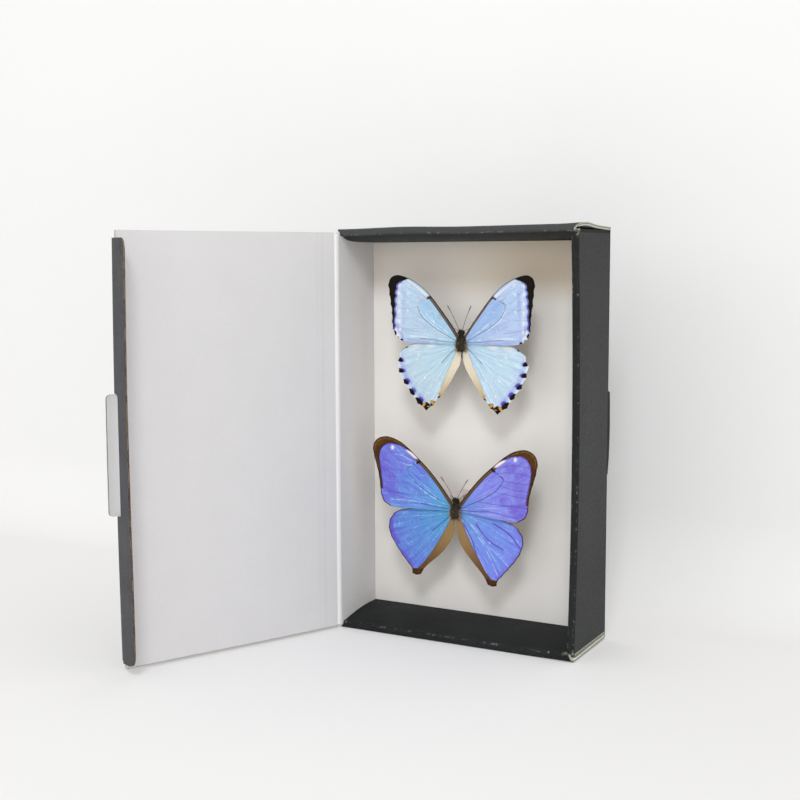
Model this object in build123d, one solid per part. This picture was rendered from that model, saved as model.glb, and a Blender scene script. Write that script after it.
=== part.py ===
from build123d import *
import os
from math import degrees

# A die-cut corrugated case stands on its short end and opens like a book.
# X runs to the right, Y to the back and Z up. The origin is the middle of
# the face that the case stands on. The open front looks towards -Y, and the
# lid is hinged on the left wall, which is the spine.

# ---------------------------------------------------------------- sizes, mm
case_width = 134.8
case_height = 215.0
case_depth = 47.4
board = 1.6              # thickness of the corrugated board
edge_radius = 1.1        # rounded folds round the back panel

fold_width = 3.7         # front strip of each roll-over wall, across its two layers
fold_reach = 2.6         # how far the strip's layers reach back from the front edge
fold_radius = 1.3        # outside radius of the strip's two bends
fold_mitre = 2.0         # slant of the end strips where they meet the right strip
ramp_reach = 13.0        # where the inner layer has climbed to its full height
flap_gap = 0.05          # play between the layers and the dust flaps between them

lock_length = 43.5       # slot lock of the right wall
lock_centre = 109.0      # height of that lock above the floor
lock_clearance = 0.1
lip_reach = 2.4          # how far the lock's lip stands out behind the back panel
end_lock_length = 30.0   # slot locks of the top and bottom walls

right_flap_length = 77.0
spine_flap_length = 76.0
dust_flap_setback = 0.5  # the flaps' front edges, behind the end of the inner layer's ramp
dust_flap_taper = 9.0

swing_gap = 0.3          # gap left between pieces that move past each other
lid_open_angle = 114.5   # lid angle in the rest pose, 0 is closed
lid_reach = 127.5        # hinge axis to the outside of the lid's folded edge
lid_floor_gap = 0.9
lid_top_inset = 1.7

flap_depth = 14.0        # tuck flap, from its fold line to its free edge
flap_corner = 6.0
flap_end_play = 0.5      # closed flap's ends, from the end walls' inner layers
flap_fold_angle = 84.0   # flap angle in the rest pose, 0 is flat with the lid

tab_length = 58.0        # pull tab, along the lid's edge
tab_reach = 5.9          # pull tab, out from the fold line
tab_corner = 2.0
tab_clearance = 0.5

foam_thickness = 10.4
foam_play = 0.1

upper_height = 48.2      # upper specimen, above the case's middle
lower_drop = 40.6        # lower specimen, below the case's middle
mount_height = 20.0      # wings above the foam
block_width = 7.4
block_height = 12.0
pin_radius = 0.25
pin_length = 31.5
pin_head_radius = 0.65
pin_head_thickness = 1.0
pin_clearance = 0.05

wing_thickness = 0.3
wing_layer_gap = 0.05    # hindwing under forewing
wing_room = 100.0        # height of the sheets that the wings are cut from
wing_reach = 60.0        # length of those sheets, out from the body
thorax_radius = 2.8
thorax_length = 9.0
head_radius = 1.7
eye_radius = 0.9
antenna_radius = 0.2
club_radius = 0.42
antenna_bow = 0.4        # how far an antenna or a leg bends out of a straight line
leg_radius = 0.18
body_sides = 12          # sides of the bodies' rings
rod_sides = 6            # sides of the rings of antennae and legs

# Rings of the bodies: place along the axis and width, as shares of the half
# length and the radius that they belong to.
thorax_rings = [(-1.0, 0.25), (-0.86, 0.62), (-0.5, 0.9), (-0.1, 1.0), (0.35, 0.92), (0.75, 0.6),
                (0.95, 0.42)]
head_rings = [(0.1, 0.82), (0.55, 1.0), (1.0, 0.84), (1.35, 0.4)]
eye_rings_out = [(0.6, 0.9), (0.95, 1.0), (1.25, 0.8), (1.38, 0.4)]

# --------------------------------------------------------- worked-out places
right = case_width / 2
front = -case_depth / 2
back = case_depth / 2
inner_back = back - board
mid_height = case_height / 2
rise = 4 * board + 3 * flap_gap          # outer layer, two dust flaps, inner layer
right_rise = 2 * board                   # outer and inner layer, nothing between
spine_inner = -right + board
right_inner = right - right_rise
stack_bottom = board + flap_gap          # underside of the right wall's dust flaps
right_wall_bottom = stack_bottom + board
end_inner_right = right - fold_width - flap_gap

hinge_x = -right + board / 2
hinge_y = front - swing_gap - board / 2
lid_bottom = lid_floor_gap
lid_top = case_height - lid_top_inset
lid_middle = (lid_bottom + lid_top) / 2
knuckle = board / 2                      # round nose of a creased edge
edge_setback = knuckle + swing_gap       # a moving board's edge, from the crease axis
fold_line = lid_reach - knuckle          # tuck flap's crease, from the hinge axis
# The closed flap stands in the case as deep as this where its corners begin.
flap_corner_depth = hinge_y - front + flap_depth - flap_corner
ramp_slope = (rise - fold_width) / (ramp_reach - fold_reach)
flap_bottom = fold_width + ramp_slope * (flap_corner_depth - fold_reach) + flap_end_play

foam_front = inner_back - foam_thickness
wing_plane = foam_front - mount_height
block_front = wing_plane + thorax_radius + swing_gap

# Outlines of the right wings, from the middle of the thorax: X out, Z to the head.
# Each list goes on from the last point of the one before: leading edge, vein ends
# along the outer margin, trailing edge. "sheet" holds the angle at which the wings
# leave the body and the radius that they curve up with, and "bow" the depth of the
# scallops between vein ends.
upper_specimen = {
    "centre": (-1.8, mid_height + upper_height), "roll": 0.0,
    "block_shift": (0.0, -2.3),
    "fore_sheet": (2.3, 980.0),
    "fore_costa": [(1.0, 2.8), (7.8, 12.0), (18.0, 24.6), (27.0, 31.7), (36.0, 34.9),
                   (40.6, 33.4), (41.9, 29.6)],
    "fore_margin": [(41.3, 24.9), (40.7, 19.8), (40.1, 15.0), (39.8, 10.6), (39.4, 6.6),
                    (38.2, 3.2), (35.4, 0.8)],
    "fore_inner": [(29.8, -0.3), (20.0, -0.5), (1.0, -0.6)],
    "fore_bow": -0.35,
    "hind_sheet": (0.6, 1500.0),
    "hind_costa": [(1.0, 0.4), (12.0, 1.2), (24.0, 0.2), (31.4, -2.6), (36.0, -6.4)],
    "hind_margin": [(37.6, -11.0), (36.6, -16.6), (33.6, -22.2), (29.8, -27.4), (25.6, -32.4),
                    (20.6, -36.0), (16.2, -33.2), (12.8, -29.2)],
    "hind_inner": [(8.6, -22.8), (4.4, -15.8), (1.4, -9.4), (0.5, -3.0)],
    "hind_bow": -0.7,
    "antenna_tip": (6.9, -3.0, 19.7), "leg_tip": (4.4, 0.0, 7.5),
}
lower_specimen = {
    "centre": (-5.0, mid_height - lower_drop), "roll": 1.5,
    "block_shift": (-1.2, 1.9),
    "fore_sheet": (4.6, 670.0),
    "fore_costa": [(1.0, 2.4), (7.2, 10.2), (18.0, 22.7), (30.6, 32.6), (40.6, 36.6),
                   (46.0, 34.9), (47.6, 30.6)],
    "fore_margin": [(46.7, 25.0), (45.2, 19.9), (43.8, 14.8), (42.7, 9.8), (42.1, 5.2),
                    (40.9, 1.4), (38.2, -0.9)],
    "fore_inner": [(32.0, -1.5), (22.0, -1.2), (1.0, -0.6)],
    "fore_bow": -0.3,
    "hind_sheet": (1.2, 800.0),
    "hind_costa": [(1.0, 0.4), (12.0, 0.9), (24.0, -1.0), (33.4, -3.2), (38.2, -7.6)],
    "hind_margin": [(39.2, -12.4), (37.8, -17.8), (34.8, -23.2), (31.2, -28.0), (27.6, -32.2),
                    (25.1, -35.1), (24.4, -37.6), (21.7, -37.5), (19.5, -38.1), (18.5, -35.4)],
    "hind_inner": [(13.7, -29.9), (7.7, -23.6), (3.0, -16.8), (0.9, -9.2), (0.5, -3.0)],
    "hind_bow": -0.25,
    "antenna_tip": (8.0, -3.0, 18.0), "leg_tip": (3.6, 0.0, 7.6),
}


# ------------------------------------------------------------ small helpers
def block(x0, x1, y0, y1, z0, z1):
    """A box from its lowest to its highest corner."""
    return Pos((x0 + x1) / 2, (y0 + y1) / 2, (z0 + z1) / 2) * Box(x1 - x0, y1 - y0, z1 - z0)


def polygon(points):
    return make_face(Polyline(*points, close=True))


def cylinder_y(x, z, radius, y0, y1):
    """A cylinder along Y."""
    return Pos(x, (y0 + y1) / 2, z) * Rot(90, 0, 0) * Cylinder(radius, y1 - y0)


def flip_up(solid):
    """The same piece at the other end of the case."""
    return mirror(solid, about=Plane.XY.offset(mid_height))


# ------------------------------------------------------------ case, walls
# A roll-over wall is drawn as a section: u is the depth from the case's front
# edge and v the height above the wall's outside face.
def outer_section():
    return polygon([(fold_reach, 0), (case_depth - board, 0), (case_depth - board, board),
                    (fold_reach, board)])


def fold_section():
    strip = polygon([(0, 0), (fold_reach, 0), (fold_reach, fold_width), (0, fold_width)])
    front_corners = strip.vertices().sort_by(Axis.X)[:2]
    strip = fillet(front_corners, fold_radius)
    slot = polygon([(board, board), (fold_reach, board), (fold_reach, fold_width - board),
                    (board, fold_width - board)])
    return strip - slot


def inner_section(height):
    far = case_depth - board
    return polygon([(fold_reach, fold_width), (ramp_reach, height), (far, height),
                    (far, height - board), (ramp_reach, height - board),
                    (fold_reach, fold_width - board)])


def along_x(section, x0, x1):
    plane = Plane(origin=(x0, front, 0), x_dir=(0, 1, 0), z_dir=(1, 0, 0))
    return extrude(plane * section, amount=x1 - x0)


def along_z(section, z0, z1):
    plane = Plane(origin=(right, front, z0), x_dir=(0, 1, 0), z_dir=(0, 0, 1))
    return extrude(plane * section, amount=z1 - z0)


def strip_cutter(points):
    """A prism through the whole front strip, drawn as a face seen from the front."""
    return extrude(Plane.XZ * polygon(points), amount=case_depth, both=True)


def bottom_wall():
    """Outer layer, front fold and inner layer of the wall that the case stands on."""
    strip = along_x(fold_section(), -right, right)
    # The strip stops at the spine, and its right end is cut on a slant.
    strip -= block(-right, spine_inner, front, back, board, case_height)
    strip -= strip_cutter([(right, 0), (right, fold_width), (right - fold_mitre, fold_width)])
    tab = block(-end_lock_length / 2, end_lock_length / 2, inner_back, back, rise - board, rise)
    return {
        "outer": along_x(outer_section(), -right, right),
        "rollover": strip,
        "inner": along_x(inner_section(rise), spine_inner, end_inner_right) + tab,
    }


def right_wall():
    low = right_wall_bottom
    high = case_height - right_wall_bottom
    # Both ends of the strip stand on the slanted ends of the two end strips.
    clear = fold_width + flap_gap
    end_cut = strip_cutter([(right, low), (right - fold_mitre, clear),
                            (right - fold_width, clear), (right - fold_width, low)])
    strip = along_z(fold_section(), low, high) - end_cut - flip_up(end_cut)
    lock_low = lock_centre - lock_length / 2
    lock_high = lock_centre + lock_length / 2
    tab = block(right_inner, right - board, inner_back, back, lock_low, lock_high)
    # The lip stays in line with the wall where the slot cuts the fold.
    lip_plane = Plane(origin=(right - board, 0, 0), x_dir=(0, 1, 0), z_dir=(1, 0, 0))
    lip_face = polygon([(inner_back, lock_low), (back, lock_low),
                        (back + lip_reach, lock_centre), (back + 0.8 * lip_reach, lock_high),
                        (inner_back, lock_high)])
    lip = extrude(lip_plane * lip_face, amount=board)
    return {
        "outer": along_z(outer_section(), low, high) + lip,
        "rollover": strip,
        "inner": along_z(inner_section(right_rise), low, high) + tab,
    }


def back_panel():
    panel = block(-right, right, inner_back, back, 0, case_height)
    rear_edges = panel.faces().sort_by(Axis.Y)[-1].edges()
    panel = fillet(rear_edges, edge_radius)
    lock_low = lock_centre - lock_length / 2 - lock_clearance
    lock_high = lock_centre + lock_length / 2 + lock_clearance
    panel -= block(right_inner - lock_clearance, right + board, inner_back - board,
                   back + board, lock_low, lock_high)
    half_slot = end_lock_length / 2 + lock_clearance
    slot = block(-half_slot, half_slot, inner_back - board, back + board,
                 rise - board - lock_clearance, rise + lock_clearance)
    return panel - slot - flip_up(slot)


def spine_wall():
    """Single-layer hinge wall. Its front edge is the round nose of the lid's crease."""
    low = board
    high = case_height - board
    wall = block(-right, spine_inner, hinge_y, inner_back, low, high)
    nose = Pos(hinge_x, hinge_y, mid_height) * Cylinder(knuckle, high - low)
    return wall + nose


def dust_flap(x_root, length, z_low):
    """Tapered flap that lies between the layers of the bottom wall."""
    direction = 1 if x_root < 0 else -1
    x_tip = x_root + direction * length
    y_front = front + ramp_reach + dust_flap_setback
    outline = Plane.XY.offset(z_low) * polygon([
        (x_root, y_front), (x_root, inner_back), (x_tip, inner_back - dust_flap_taper),
        (x_tip, y_front + dust_flap_taper)])
    return extrude(outline, amount=board)


def right_dust_flap():
    """Its root shows at the case's right side, as wide as the wall above it."""
    flap = dust_flap(right, right_flap_length, stack_bottom)
    root = block(right_inner, right, front + fold_reach, inner_back, stack_bottom,
                 stack_bottom + board)
    return flap + root


# ------------------------------------------------------------ lid and flap
def lid_frame():
    """The lid's own frame: X out from the hinge, +Y to the lid's inside, Z up."""
    return Pos(hinge_x, hinge_y, 0) * Rot(0, 0, -lid_open_angle)


def flap_frame():
    return lid_frame() * Pos(fold_line, 0, 0) * Rot(0, 0, flap_fold_angle)


def rounded_board(x0, x1, z0, z1, radius, thickness=board):
    """A board in the X-Z plane whose two outer corners are rounded."""
    plate = block(x0, x1, -thickness / 2, thickness / 2, z0, z1)
    corners = plate.edges().filter_by(Axis.Y).group_by(Axis.X)[-1]
    return fillet(corners, radius)


def lid_panel():
    panel = block(edge_setback, fold_line, -board / 2, board / 2, lid_bottom, lid_top)
    nose = Pos(fold_line, 0, lid_middle) * Cylinder(knuckle, lid_top - lid_bottom)
    half_tab = tab_length / 2
    tab_zone = block(fold_line, fold_line + board, -board, board,
                     lid_middle - half_tab - tab_clearance, lid_middle + half_tab + tab_clearance)
    return lid_frame() * (panel + nose - tab_zone)


def pull_tab():
    half_tab = tab_length / 2
    tab = rounded_board(fold_line, fold_line + tab_reach, lid_middle - half_tab,
                        lid_middle + half_tab, tab_corner)
    return lid_frame() * tab


def tuck_flap():
    flap = rounded_board(edge_setback, flap_depth, flap_bottom, case_height - flap_bottom,
                         flap_corner)
    half_notch = tab_length / 2 + tab_clearance
    notch = rounded_board(-board, tab_reach + tab_clearance, lid_middle - half_notch,
                          lid_middle + half_notch, tab_corner, thickness=2 * board)
    return flap_frame() * (flap - notch)


# ------------------------------------------------------------ foam and blocks
def block_box(specimen):
    """Support block behind a specimen, from the foam to the back of the thorax."""
    x = specimen["centre"][0] + specimen["block_shift"][0]
    z = specimen["centre"][1] + specimen["block_shift"][1]
    return block(x - block_width / 2, x + block_width / 2, block_front, foam_front,
                 z - block_height / 2, z + block_height / 2)


def pin_hole(specimen):
    x, z = specimen["centre"]
    tip = wing_plane - thorax_radius - pin_head_radius + pin_length
    return cylinder_y(x, z, pin_radius + pin_clearance, wing_plane, tip + swing_gap)


def foam_backing():
    foam = block(spine_inner + foam_play, right_inner - foam_play, foam_front, inner_back,
                 rise + foam_play, case_height - rise - foam_play)
    return foam - pin_hole(upper_specimen) - pin_hole(lower_specimen)


def support_block(specimen):
    return block_box(specimen) - pin_hole(specimen)


# ------------------------------------------------------------ specimens
# A specimen is drawn in its own frame: the origin is the middle of the thorax,
# X out along the wings, Z to the head and -Y to the viewer.
def specimen_frame(specimen):
    x, z = specimen["centre"]
    return Pos(x, wing_plane, z) * Rot(0, specimen["roll"], 0)


def wing_outline(specimen, pair):
    """Leading edge, an arc between each two vein ends, trailing edge, root."""
    costa = specimen[pair + "_costa"]
    margin = costa[-1:] + specimen[pair + "_margin"]
    inner = margin[-1:] + specimen[pair + "_inner"]
    bow = specimen[pair + "_bow"]
    edges = [Spline(*costa)]
    edges += [SagittaArc(a, b, bow) for a, b in zip(margin, margin[1:])]
    edges += [Spline(*inner), Line(inner[-1], costa[0])]
    return make_face(edges)


def wing(specimen, pair, layer_offset):
    """The outline cut from a thin sheet that rises and curves towards the wing tip."""
    root_angle, radius = specimen[pair + "_sheet"]
    prism = extrude(Plane.XZ * wing_outline(specimen, pair), amount=mount_height, both=True)
    heading = Vector(1, 0, 0).rotate(Axis.Z, -root_angle)
    path = JernArc((0, 0), heading, radius, -degrees(wing_reach / radius))
    section = trace(path, wing_thickness)
    sheet = extrude(Pos(0, layer_offset, -wing_room / 2) * section, amount=wing_room)
    return prism & sheet


def forewing(specimen):
    return wing(specimen, "fore", 0)


def hindwing(specimen):
    return wing(specimen, "hind", wing_thickness + wing_layer_gap)


def ringed(rings, plane, sides):
    """A solid through polygons of (place, radius), all parallel to one plane."""
    faces = []
    for place, radius in rings:
        at = Plane(origin=place, x_dir=plane.x_dir, z_dir=plane.z_dir)
        faces.append(at * RegularPolygon(radius, sides, major_radius=False))
    return loft(faces, ruled=True)


def insect_body():
    """Thorax and head, ring by ring from the thorax's tail end, and two eyes."""
    half = thorax_length / 2
    rings = [((0, 0, along * half), width * thorax_radius) for along, width in thorax_rings]
    head_y = -0.2 * head_radius
    rings += [((0, head_y, half + along * head_radius), width * head_radius)
              for along, width in head_rings]
    body = ringed(rings, Plane.XY, body_sides)
    eye_z = half + 0.5 * head_radius
    for out in (-1, 1):
        eye_rings = [((out * x * head_radius, head_y, eye_z), width * eye_radius)
                     for x, width in eye_rings_out]
        body += ringed(eye_rings, Plane.YZ, body_sides)
    return body


def antenna(specimen):
    tip = Vector(*specimen["antenna_tip"])
    root = Vector(0.4 * head_radius, -0.5 * head_radius, thorax_length / 2 + 0.8 * head_radius)
    span = tip - root
    bow = Vector(-antenna_bow, 0, 0)
    rings = [(root, antenna_radius), (root + span * 0.45 + bow, antenna_radius),
             (root + span * 0.82 + bow * 0.5, antenna_radius), (root + span * 0.95, club_radius),
             (tip, antenna_radius)]
    return ringed(rings, Plane.XY, rod_sides)


def foreleg(specimen):
    tip = Vector(*specimen["leg_tip"])
    root = Vector(0.5 * head_radius, 0, thorax_length / 2 + 0.5 * head_radius)
    knee = (root + tip) * 0.5 + Vector(0, 0, antenna_bow)
    return ringed([(root, leg_radius), (knee, leg_radius), (tip, leg_radius / 2)],
                  Plane.YZ, rod_sides)


def pin():
    """Pin through the thorax, drawn along Y from its head to its point."""
    head_front = -thorax_radius - pin_head_thickness
    head = cylinder_y(0, 0, pin_head_radius, head_front, head_front + pin_head_thickness)
    point = 3 * pin_radius
    shaft = cylinder_y(0, 0, pin_radius, head_front + pin_head_thickness,
                       head_front + pin_length - point)
    cone_plane = Plane(origin=(0, head_front + pin_length - point, 0), z_dir=(0, 1, 0))
    tip = Solid.make_cone(pin_radius, 0.2 * pin_radius, point, plane=cone_plane)
    return head + shaft + tip


def both_sides(solid):
    return solid, mirror(solid, about=Plane.YZ)


def specimen_parts(name, specimen):
    place = specimen_frame(specimen)
    body = insect_body()
    the_pin = pin()
    parts = {}
    right_fore, left_fore = both_sides(forewing(specimen) - body)
    right_hind, left_hind = both_sides(hindwing(specimen) - body)
    parts["forewing_right"] = right_fore
    parts["forewing_left"] = left_fore
    parts["hindwing_right"] = right_hind
    parts["hindwing_left"] = left_hind
    parts["antennae"] = Compound(children=list(both_sides(antenna(specimen) - body)))
    parts["forelegs"] = Compound(children=list(both_sides(foreleg(specimen) - body)))
    parts["body"] = body - the_pin
    parts["pin"] = the_pin
    return {f"{name}_{key}": place * value for key, value in parts.items()}


# ------------------------------------------------------------ all nodes
def build():
    nodes = {"back_panel": back_panel(), "spine_wall": spine_wall()}
    for layer, solid in bottom_wall().items():
        nodes[f"bottom_wall_{layer}"] = solid
        nodes[f"top_wall_{layer}"] = flip_up(solid)
    for layer, solid in right_wall().items():
        nodes[f"right_wall_{layer}"] = solid
    right_flap = right_dust_flap()
    spine_flap = dust_flap(spine_inner, spine_flap_length, stack_bottom + board + flap_gap)
    nodes["right_dust_flap_bottom"] = right_flap
    nodes["right_dust_flap_top"] = flip_up(right_flap)
    nodes["spine_dust_flap_bottom"] = spine_flap
    nodes["spine_dust_flap_top"] = flip_up(spine_flap)
    nodes["foam_backing"] = foam_backing()
    nodes["upper_support_block"] = support_block(upper_specimen)
    nodes["lower_support_block"] = support_block(lower_specimen)
    nodes["lid_panel"] = lid_panel()
    nodes["pull_tab"] = pull_tab()
    nodes["tuck_flap"] = tuck_flap()
    nodes.update(specimen_parts("upper", upper_specimen))
    nodes.update(specimen_parts("lower", lower_specimen))
    return nodes


os.makedirs("parts", exist_ok=True)
for node_name, node_shape in build().items():
    export_step(node_shape, f"parts/{node_name}.step")
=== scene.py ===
import math
import random
import bpy
import bmesh
import numpy as np
from mathutils import Matrix, Vector


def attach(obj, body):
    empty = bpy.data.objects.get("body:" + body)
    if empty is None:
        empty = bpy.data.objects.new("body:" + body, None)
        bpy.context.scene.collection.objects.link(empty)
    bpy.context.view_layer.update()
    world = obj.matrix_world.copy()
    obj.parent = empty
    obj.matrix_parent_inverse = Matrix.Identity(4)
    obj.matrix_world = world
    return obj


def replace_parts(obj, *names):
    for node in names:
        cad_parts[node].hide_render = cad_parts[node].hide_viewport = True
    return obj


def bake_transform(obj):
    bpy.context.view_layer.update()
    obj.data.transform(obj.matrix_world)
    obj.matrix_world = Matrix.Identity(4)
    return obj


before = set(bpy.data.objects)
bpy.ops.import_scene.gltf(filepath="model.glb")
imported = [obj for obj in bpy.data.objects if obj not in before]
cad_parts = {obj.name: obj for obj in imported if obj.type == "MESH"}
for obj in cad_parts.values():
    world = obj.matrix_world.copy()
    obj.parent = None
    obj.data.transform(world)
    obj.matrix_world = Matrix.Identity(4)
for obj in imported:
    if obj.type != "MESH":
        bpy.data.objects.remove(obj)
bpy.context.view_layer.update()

MM = 0.001

# ------------------------------------------------------------------ sizes, mm
RIGHT, FRONT, BACK, TOP = 67.4, -23.7, 23.7, 215.0
DEPTH = BACK - FRONT
BOARD, FOLD, RISE = 1.6, 3.7, 6.55            # thickness, front strip, height of the end walls
END_GAP = 3.25                                # from the case's ends to the right wall's sheet
SPINE_INNER, RIGHT_INNER, END_INNER_RIGHT = -65.8, 64.2, 63.65
HINGE = np.array([-66.6, -24.8])
LID_OUT = np.array([-0.41469, -0.90996])      # along the lid at rest, away from the hinge
LID_IN = np.array([0.90996, -0.41469])        # the way the lid's inside faces
FOLD_LINE = 126.7
FLAP_AXIS = HINGE + LID_OUT * FOLD_LINE
FLAP_OUT = np.array([0.86163, -0.50754])      # along the tuck flap at rest
FLAP_IN = np.array([0.50754, 0.86163])
FLAP_TURN = math.radians(84.0)                # the flap's angle from flat, at rest
FLAP_REACH = 14.0
LID_LOW, LID_HIGH = 0.9, 213.3
LID_MIDDLE = (LID_LOW + LID_HIGH) / 2
FLAP_LOW, FLAP_HIGH = 5.4, 209.6
FLAP_CORNER, TAB_CORNER = 6, 2
PRESSED = (10.4, 13.6)                        # faint pressed lines beside the lid's hinge
WING_PLANE = -8.3


# ------------------------------------------------------------------ materials
class Tree:
    """Builds a node tree: put() makes a node, and a socket given as a value is linked."""

    def __init__(self, owner):
        owner.use_nodes = True
        self.nodes, self.links = owner.node_tree.nodes, owner.node_tree.links
        self.nodes.clear()

    def put(self, kind, values=None, out=0, **settings):
        node = self.nodes.new("ShaderNode" + kind)
        for key, value in settings.items():
            setattr(node, key, value)
        for key, value in (values or {}).items():
            socket = node.inputs[key]
            if isinstance(value, bpy.types.NodeSocket):
                self.links.new(value, socket)
            elif isinstance(value, tuple) and len(value) == 3 and socket.type == "RGBA":
                socket.default_value = (*value, 1)
            else:
                socket.default_value = value
        return node.outputs[out] if node.outputs else None

    def math(self, operation, a, b=0.0, clamp=False):
        return self.put("Math", {0: a, 1: b}, operation=operation, use_clamp=clamp)

    def times(self, a, b):
        return self.math("MULTIPLY", a, b)

    def plus(self, a, b, clamp=False):
        return self.math("ADD", a, b, clamp)

    def minus(self, a, b):
        return self.math("SUBTRACT", a, b)

    def mix(self, share, a, b):
        return self.put("Mix", {0: share, 6: a, 7: b}, out=2, data_type="RGBA")

    def over(self, colour, *layers):
        """Lays colours over one another: each layer is (share, colour) or, with a strength
        that the share is multiplied by, (share, strength, colour)."""
        for share, *strength, new in layers:
            colour = self.mix(self.times(share, *strength) if strength else share, colour, new)
        return colour

    def band(self, value, low, high, to_low=0.0, to_high=1.0):
        return self.put("MapRange", {0: value, 1: low, 2: high, 3: to_low, 4: to_high},
                        interpolation_type="SMOOTHSTEP")

    def noise(self, at, scale, detail=3, rough=0.6, twist=0.0):
        return self.put("TexNoise", {"Vector": at, "Scale": scale, "Detail": detail,
                                     "Roughness": rough, "Distortion": twist})

    def streaks(self, at, scale, detail=3, rough=0.6, twist=0.0):
        """Noise stretched by a scale for each axis."""
        return self.noise(self.stretch(at, scale), 1.0, detail, rough, twist)

    def stretch(self, at, scale):
        return self.put("Mapping", {"Vector": at, "Scale": scale})

    def split(self, at):
        return self.put("SeparateXYZ", {0: at}).node.outputs

    def bump(self, height, strength, distance, under=None):
        values = {"Height": height, "Strength": strength, "Distance": distance}
        if under is not None:
            values["Normal"] = under
        return self.put("Bump", values)

    def value(self, name):
        return self.put("Attribute", out=2, attribute_name=name)

    def uv(self):
        return self.put("TexCoord", out=2)

    def finish(self, colour, rough, normal, gloss, **fixed):
        self.put("OutputMaterial", {"Surface": self.put("BsdfPrincipled", {
            "Base Color": colour, "Roughness": rough, "Normal": normal,
            "Specular IOR Level": gloss, **fixed})})


def rgb(text):
    """Linear colour of a six-digit sRGB colour."""
    parts = [int(text[i:i + 2], 16) / 255 for i in (0, 2, 4)]
    return tuple(p / 12.92 if p <= 0.04045 else ((p + 0.055) / 1.055) ** 2.4 for p in parts)


def material(name):
    """A new material, its tree and the place in the object's own frame."""
    made = bpy.data.materials.new(name)
    t = Tree(made)
    return made, t, t.put("TexCoord", out=3)


def liner(name, dark, light, scuffed=False):
    """Paper liner of the board: fibres, mottling and faint flute lines, and a grey line of painted
    shade where a sheet asks for it.
    Black liner also has grain, specks and scuffs, and painted light where a sheet asks for it."""
    made, t, at = material(name)
    rough, gloss, sheen = (0.66, 0.12, 0.0) if scuffed else (0.78, 0.22, 0.03)
    fibres = t.noise(t.stretch(at, (1, 1, 0.22)), 2600, 5)
    cross = t.noise(t.stretch(at, (0.3, 0.3, 1)), 1500, 4)
    mottle = t.noise(at, 55, 3, 0.5)
    mixed = t.plus(t.times(fibres, 0.5), t.times(cross, 0.5))
    shade = t.plus(t.times(mixed, 0.6), t.times(mottle, 0.25))
    shade = t.plus(shade, t.times(t.noise(at, 9, 2, 0.5), 0.15))
    colour = t.mix(t.band(shade, 0.36, 0.64), dark, light)
    flutes = t.put("TexWave", {"Vector": at, "Scale": 98.0, "Distortion": 0.6, "Detail": 1.0,
                               "Detail Scale": 0.4}, out=1, bands_direction="Z")
    normal = t.bump(flutes, 0.06, 0.0002)
    normal = t.bump(mixed, 0.25, 0.00008, normal)
    normal = t.bump(mottle, 0.12, 0.0004, normal)
    if scuffed:
        grain = t.noise(at, 620, 4, 0.75)
        dots = t.put("TexVoronoi", {"Vector": at, "Scale": 420.0})
        specks = t.times(t.band(dots, 0.16, 0.08), t.band(t.noise(at, 160, 2), 0.62, 0.7))
        rubbed = t.noise(at, 520, 6, 0.7)
        patchy = t.band(t.noise(at, 95), 0.5, 0.66)
        worn = t.times(t.value("wear"), t.band(rubbed, 0.52, 0.62))
        worn = t.times(worn, t.plus(0.25, patchy, clamp=True))
        torn = t.times(t.value("torn"), t.band(rubbed, 0.40, 0.5))
        colour = t.over(
            colour, (t.band(grain, 0.48, 0.7), 0.9, light),
            (t.band(grain, 0.46, 0.3), 0.5, dark),
            # Painted light: black made lighter where a sheet asks for it, for the light and sheen
            # it catches.
            (t.value("fade"), t.band(grain, 0.2, 0.75, 0.55, 1.3), (0.062, 0.066, 0.066)),
            (specks, 0.35, rgb("8f8f8b")), (worn, 0.9, rgb("a8a8a4")), (torn, rgb("c9c8bd")))
        normal = t.bump(t.plus(worn, torn), 0.5, 0.0002, normal)
    # Painted shade: a grey line where the sheet's attribute asks for it, for the shadow along the
    # lid's bottom and the shade in its pressed lines.
    colour = t.over(colour, (t.value("painted_shade_line"), 0.8, rgb("7f7d7e")))
    t.finish(colour, t.band(mixed, 0.3, 0.7, rough - 0.1, rough + 0.08), normal, gloss,
             **{"Sheen Weight": sheen, "Sheen Roughness": 0.6})
    return made


def cut_edge(name, tones, fluted=False, level=None):
    """A cut through the board: two liners and the medium between them, wavy where fluted.
    tones are those of skin, core, medium and hollow; the hollow tone is painted shade in the spaces
    between the medium. It reads the UV map (metres along the edge, 0 to 1 through the board) or,
    with the height of the board's underside, the place."""
    made, t, at = material(name)
    skin, core, paper, hollow = (rgb(tone) for tone in tones.split())
    if level is None:
        along, across = t.split(t.uv())[:2]
    else:
        _, along, height = t.split(at)
        across = t.math("DIVIDE", t.minus(height, level * MM), BOARD * MM)
    across = t.plus(across, t.times(t.minus(t.noise(at, 900, 4), 0.5), 0.22))
    if fluted:
        swing = t.math("SINE", t.times(along, 2 * math.pi / 0.0032))
        centre = t.plus(0.5, t.times(swing, 0.31))
        medium = t.band(t.math("ABSOLUTE", t.minus(across, centre)), 0.17, 0.08)
    else:
        medium = t.band(t.noise(t.stretch(at, (1, 1, 0.12)), 1400, 3, 0.5), 0.4, 0.6)
    fibre = t.noise(t.stretch(at, (1, 1, 0.4)), 3200, 4)
    # The hollow tone paints the shade in the spaces between the medium.
    colour = t.over(skin, (t.band(across, 0.14, 0.2), t.mix(medium, hollow, paper)),
                    (t.band(across, 0.8, 0.88), core),
                    (t.band(fibre, 0.45, 0.7), 0.35, rgb("b5aa96")))
    t.finish(colour, 0.9, t.bump(t.plus(medium, t.times(fibre, 0.5)), 0.8, 0.0003), 0.2)
    return made


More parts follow.
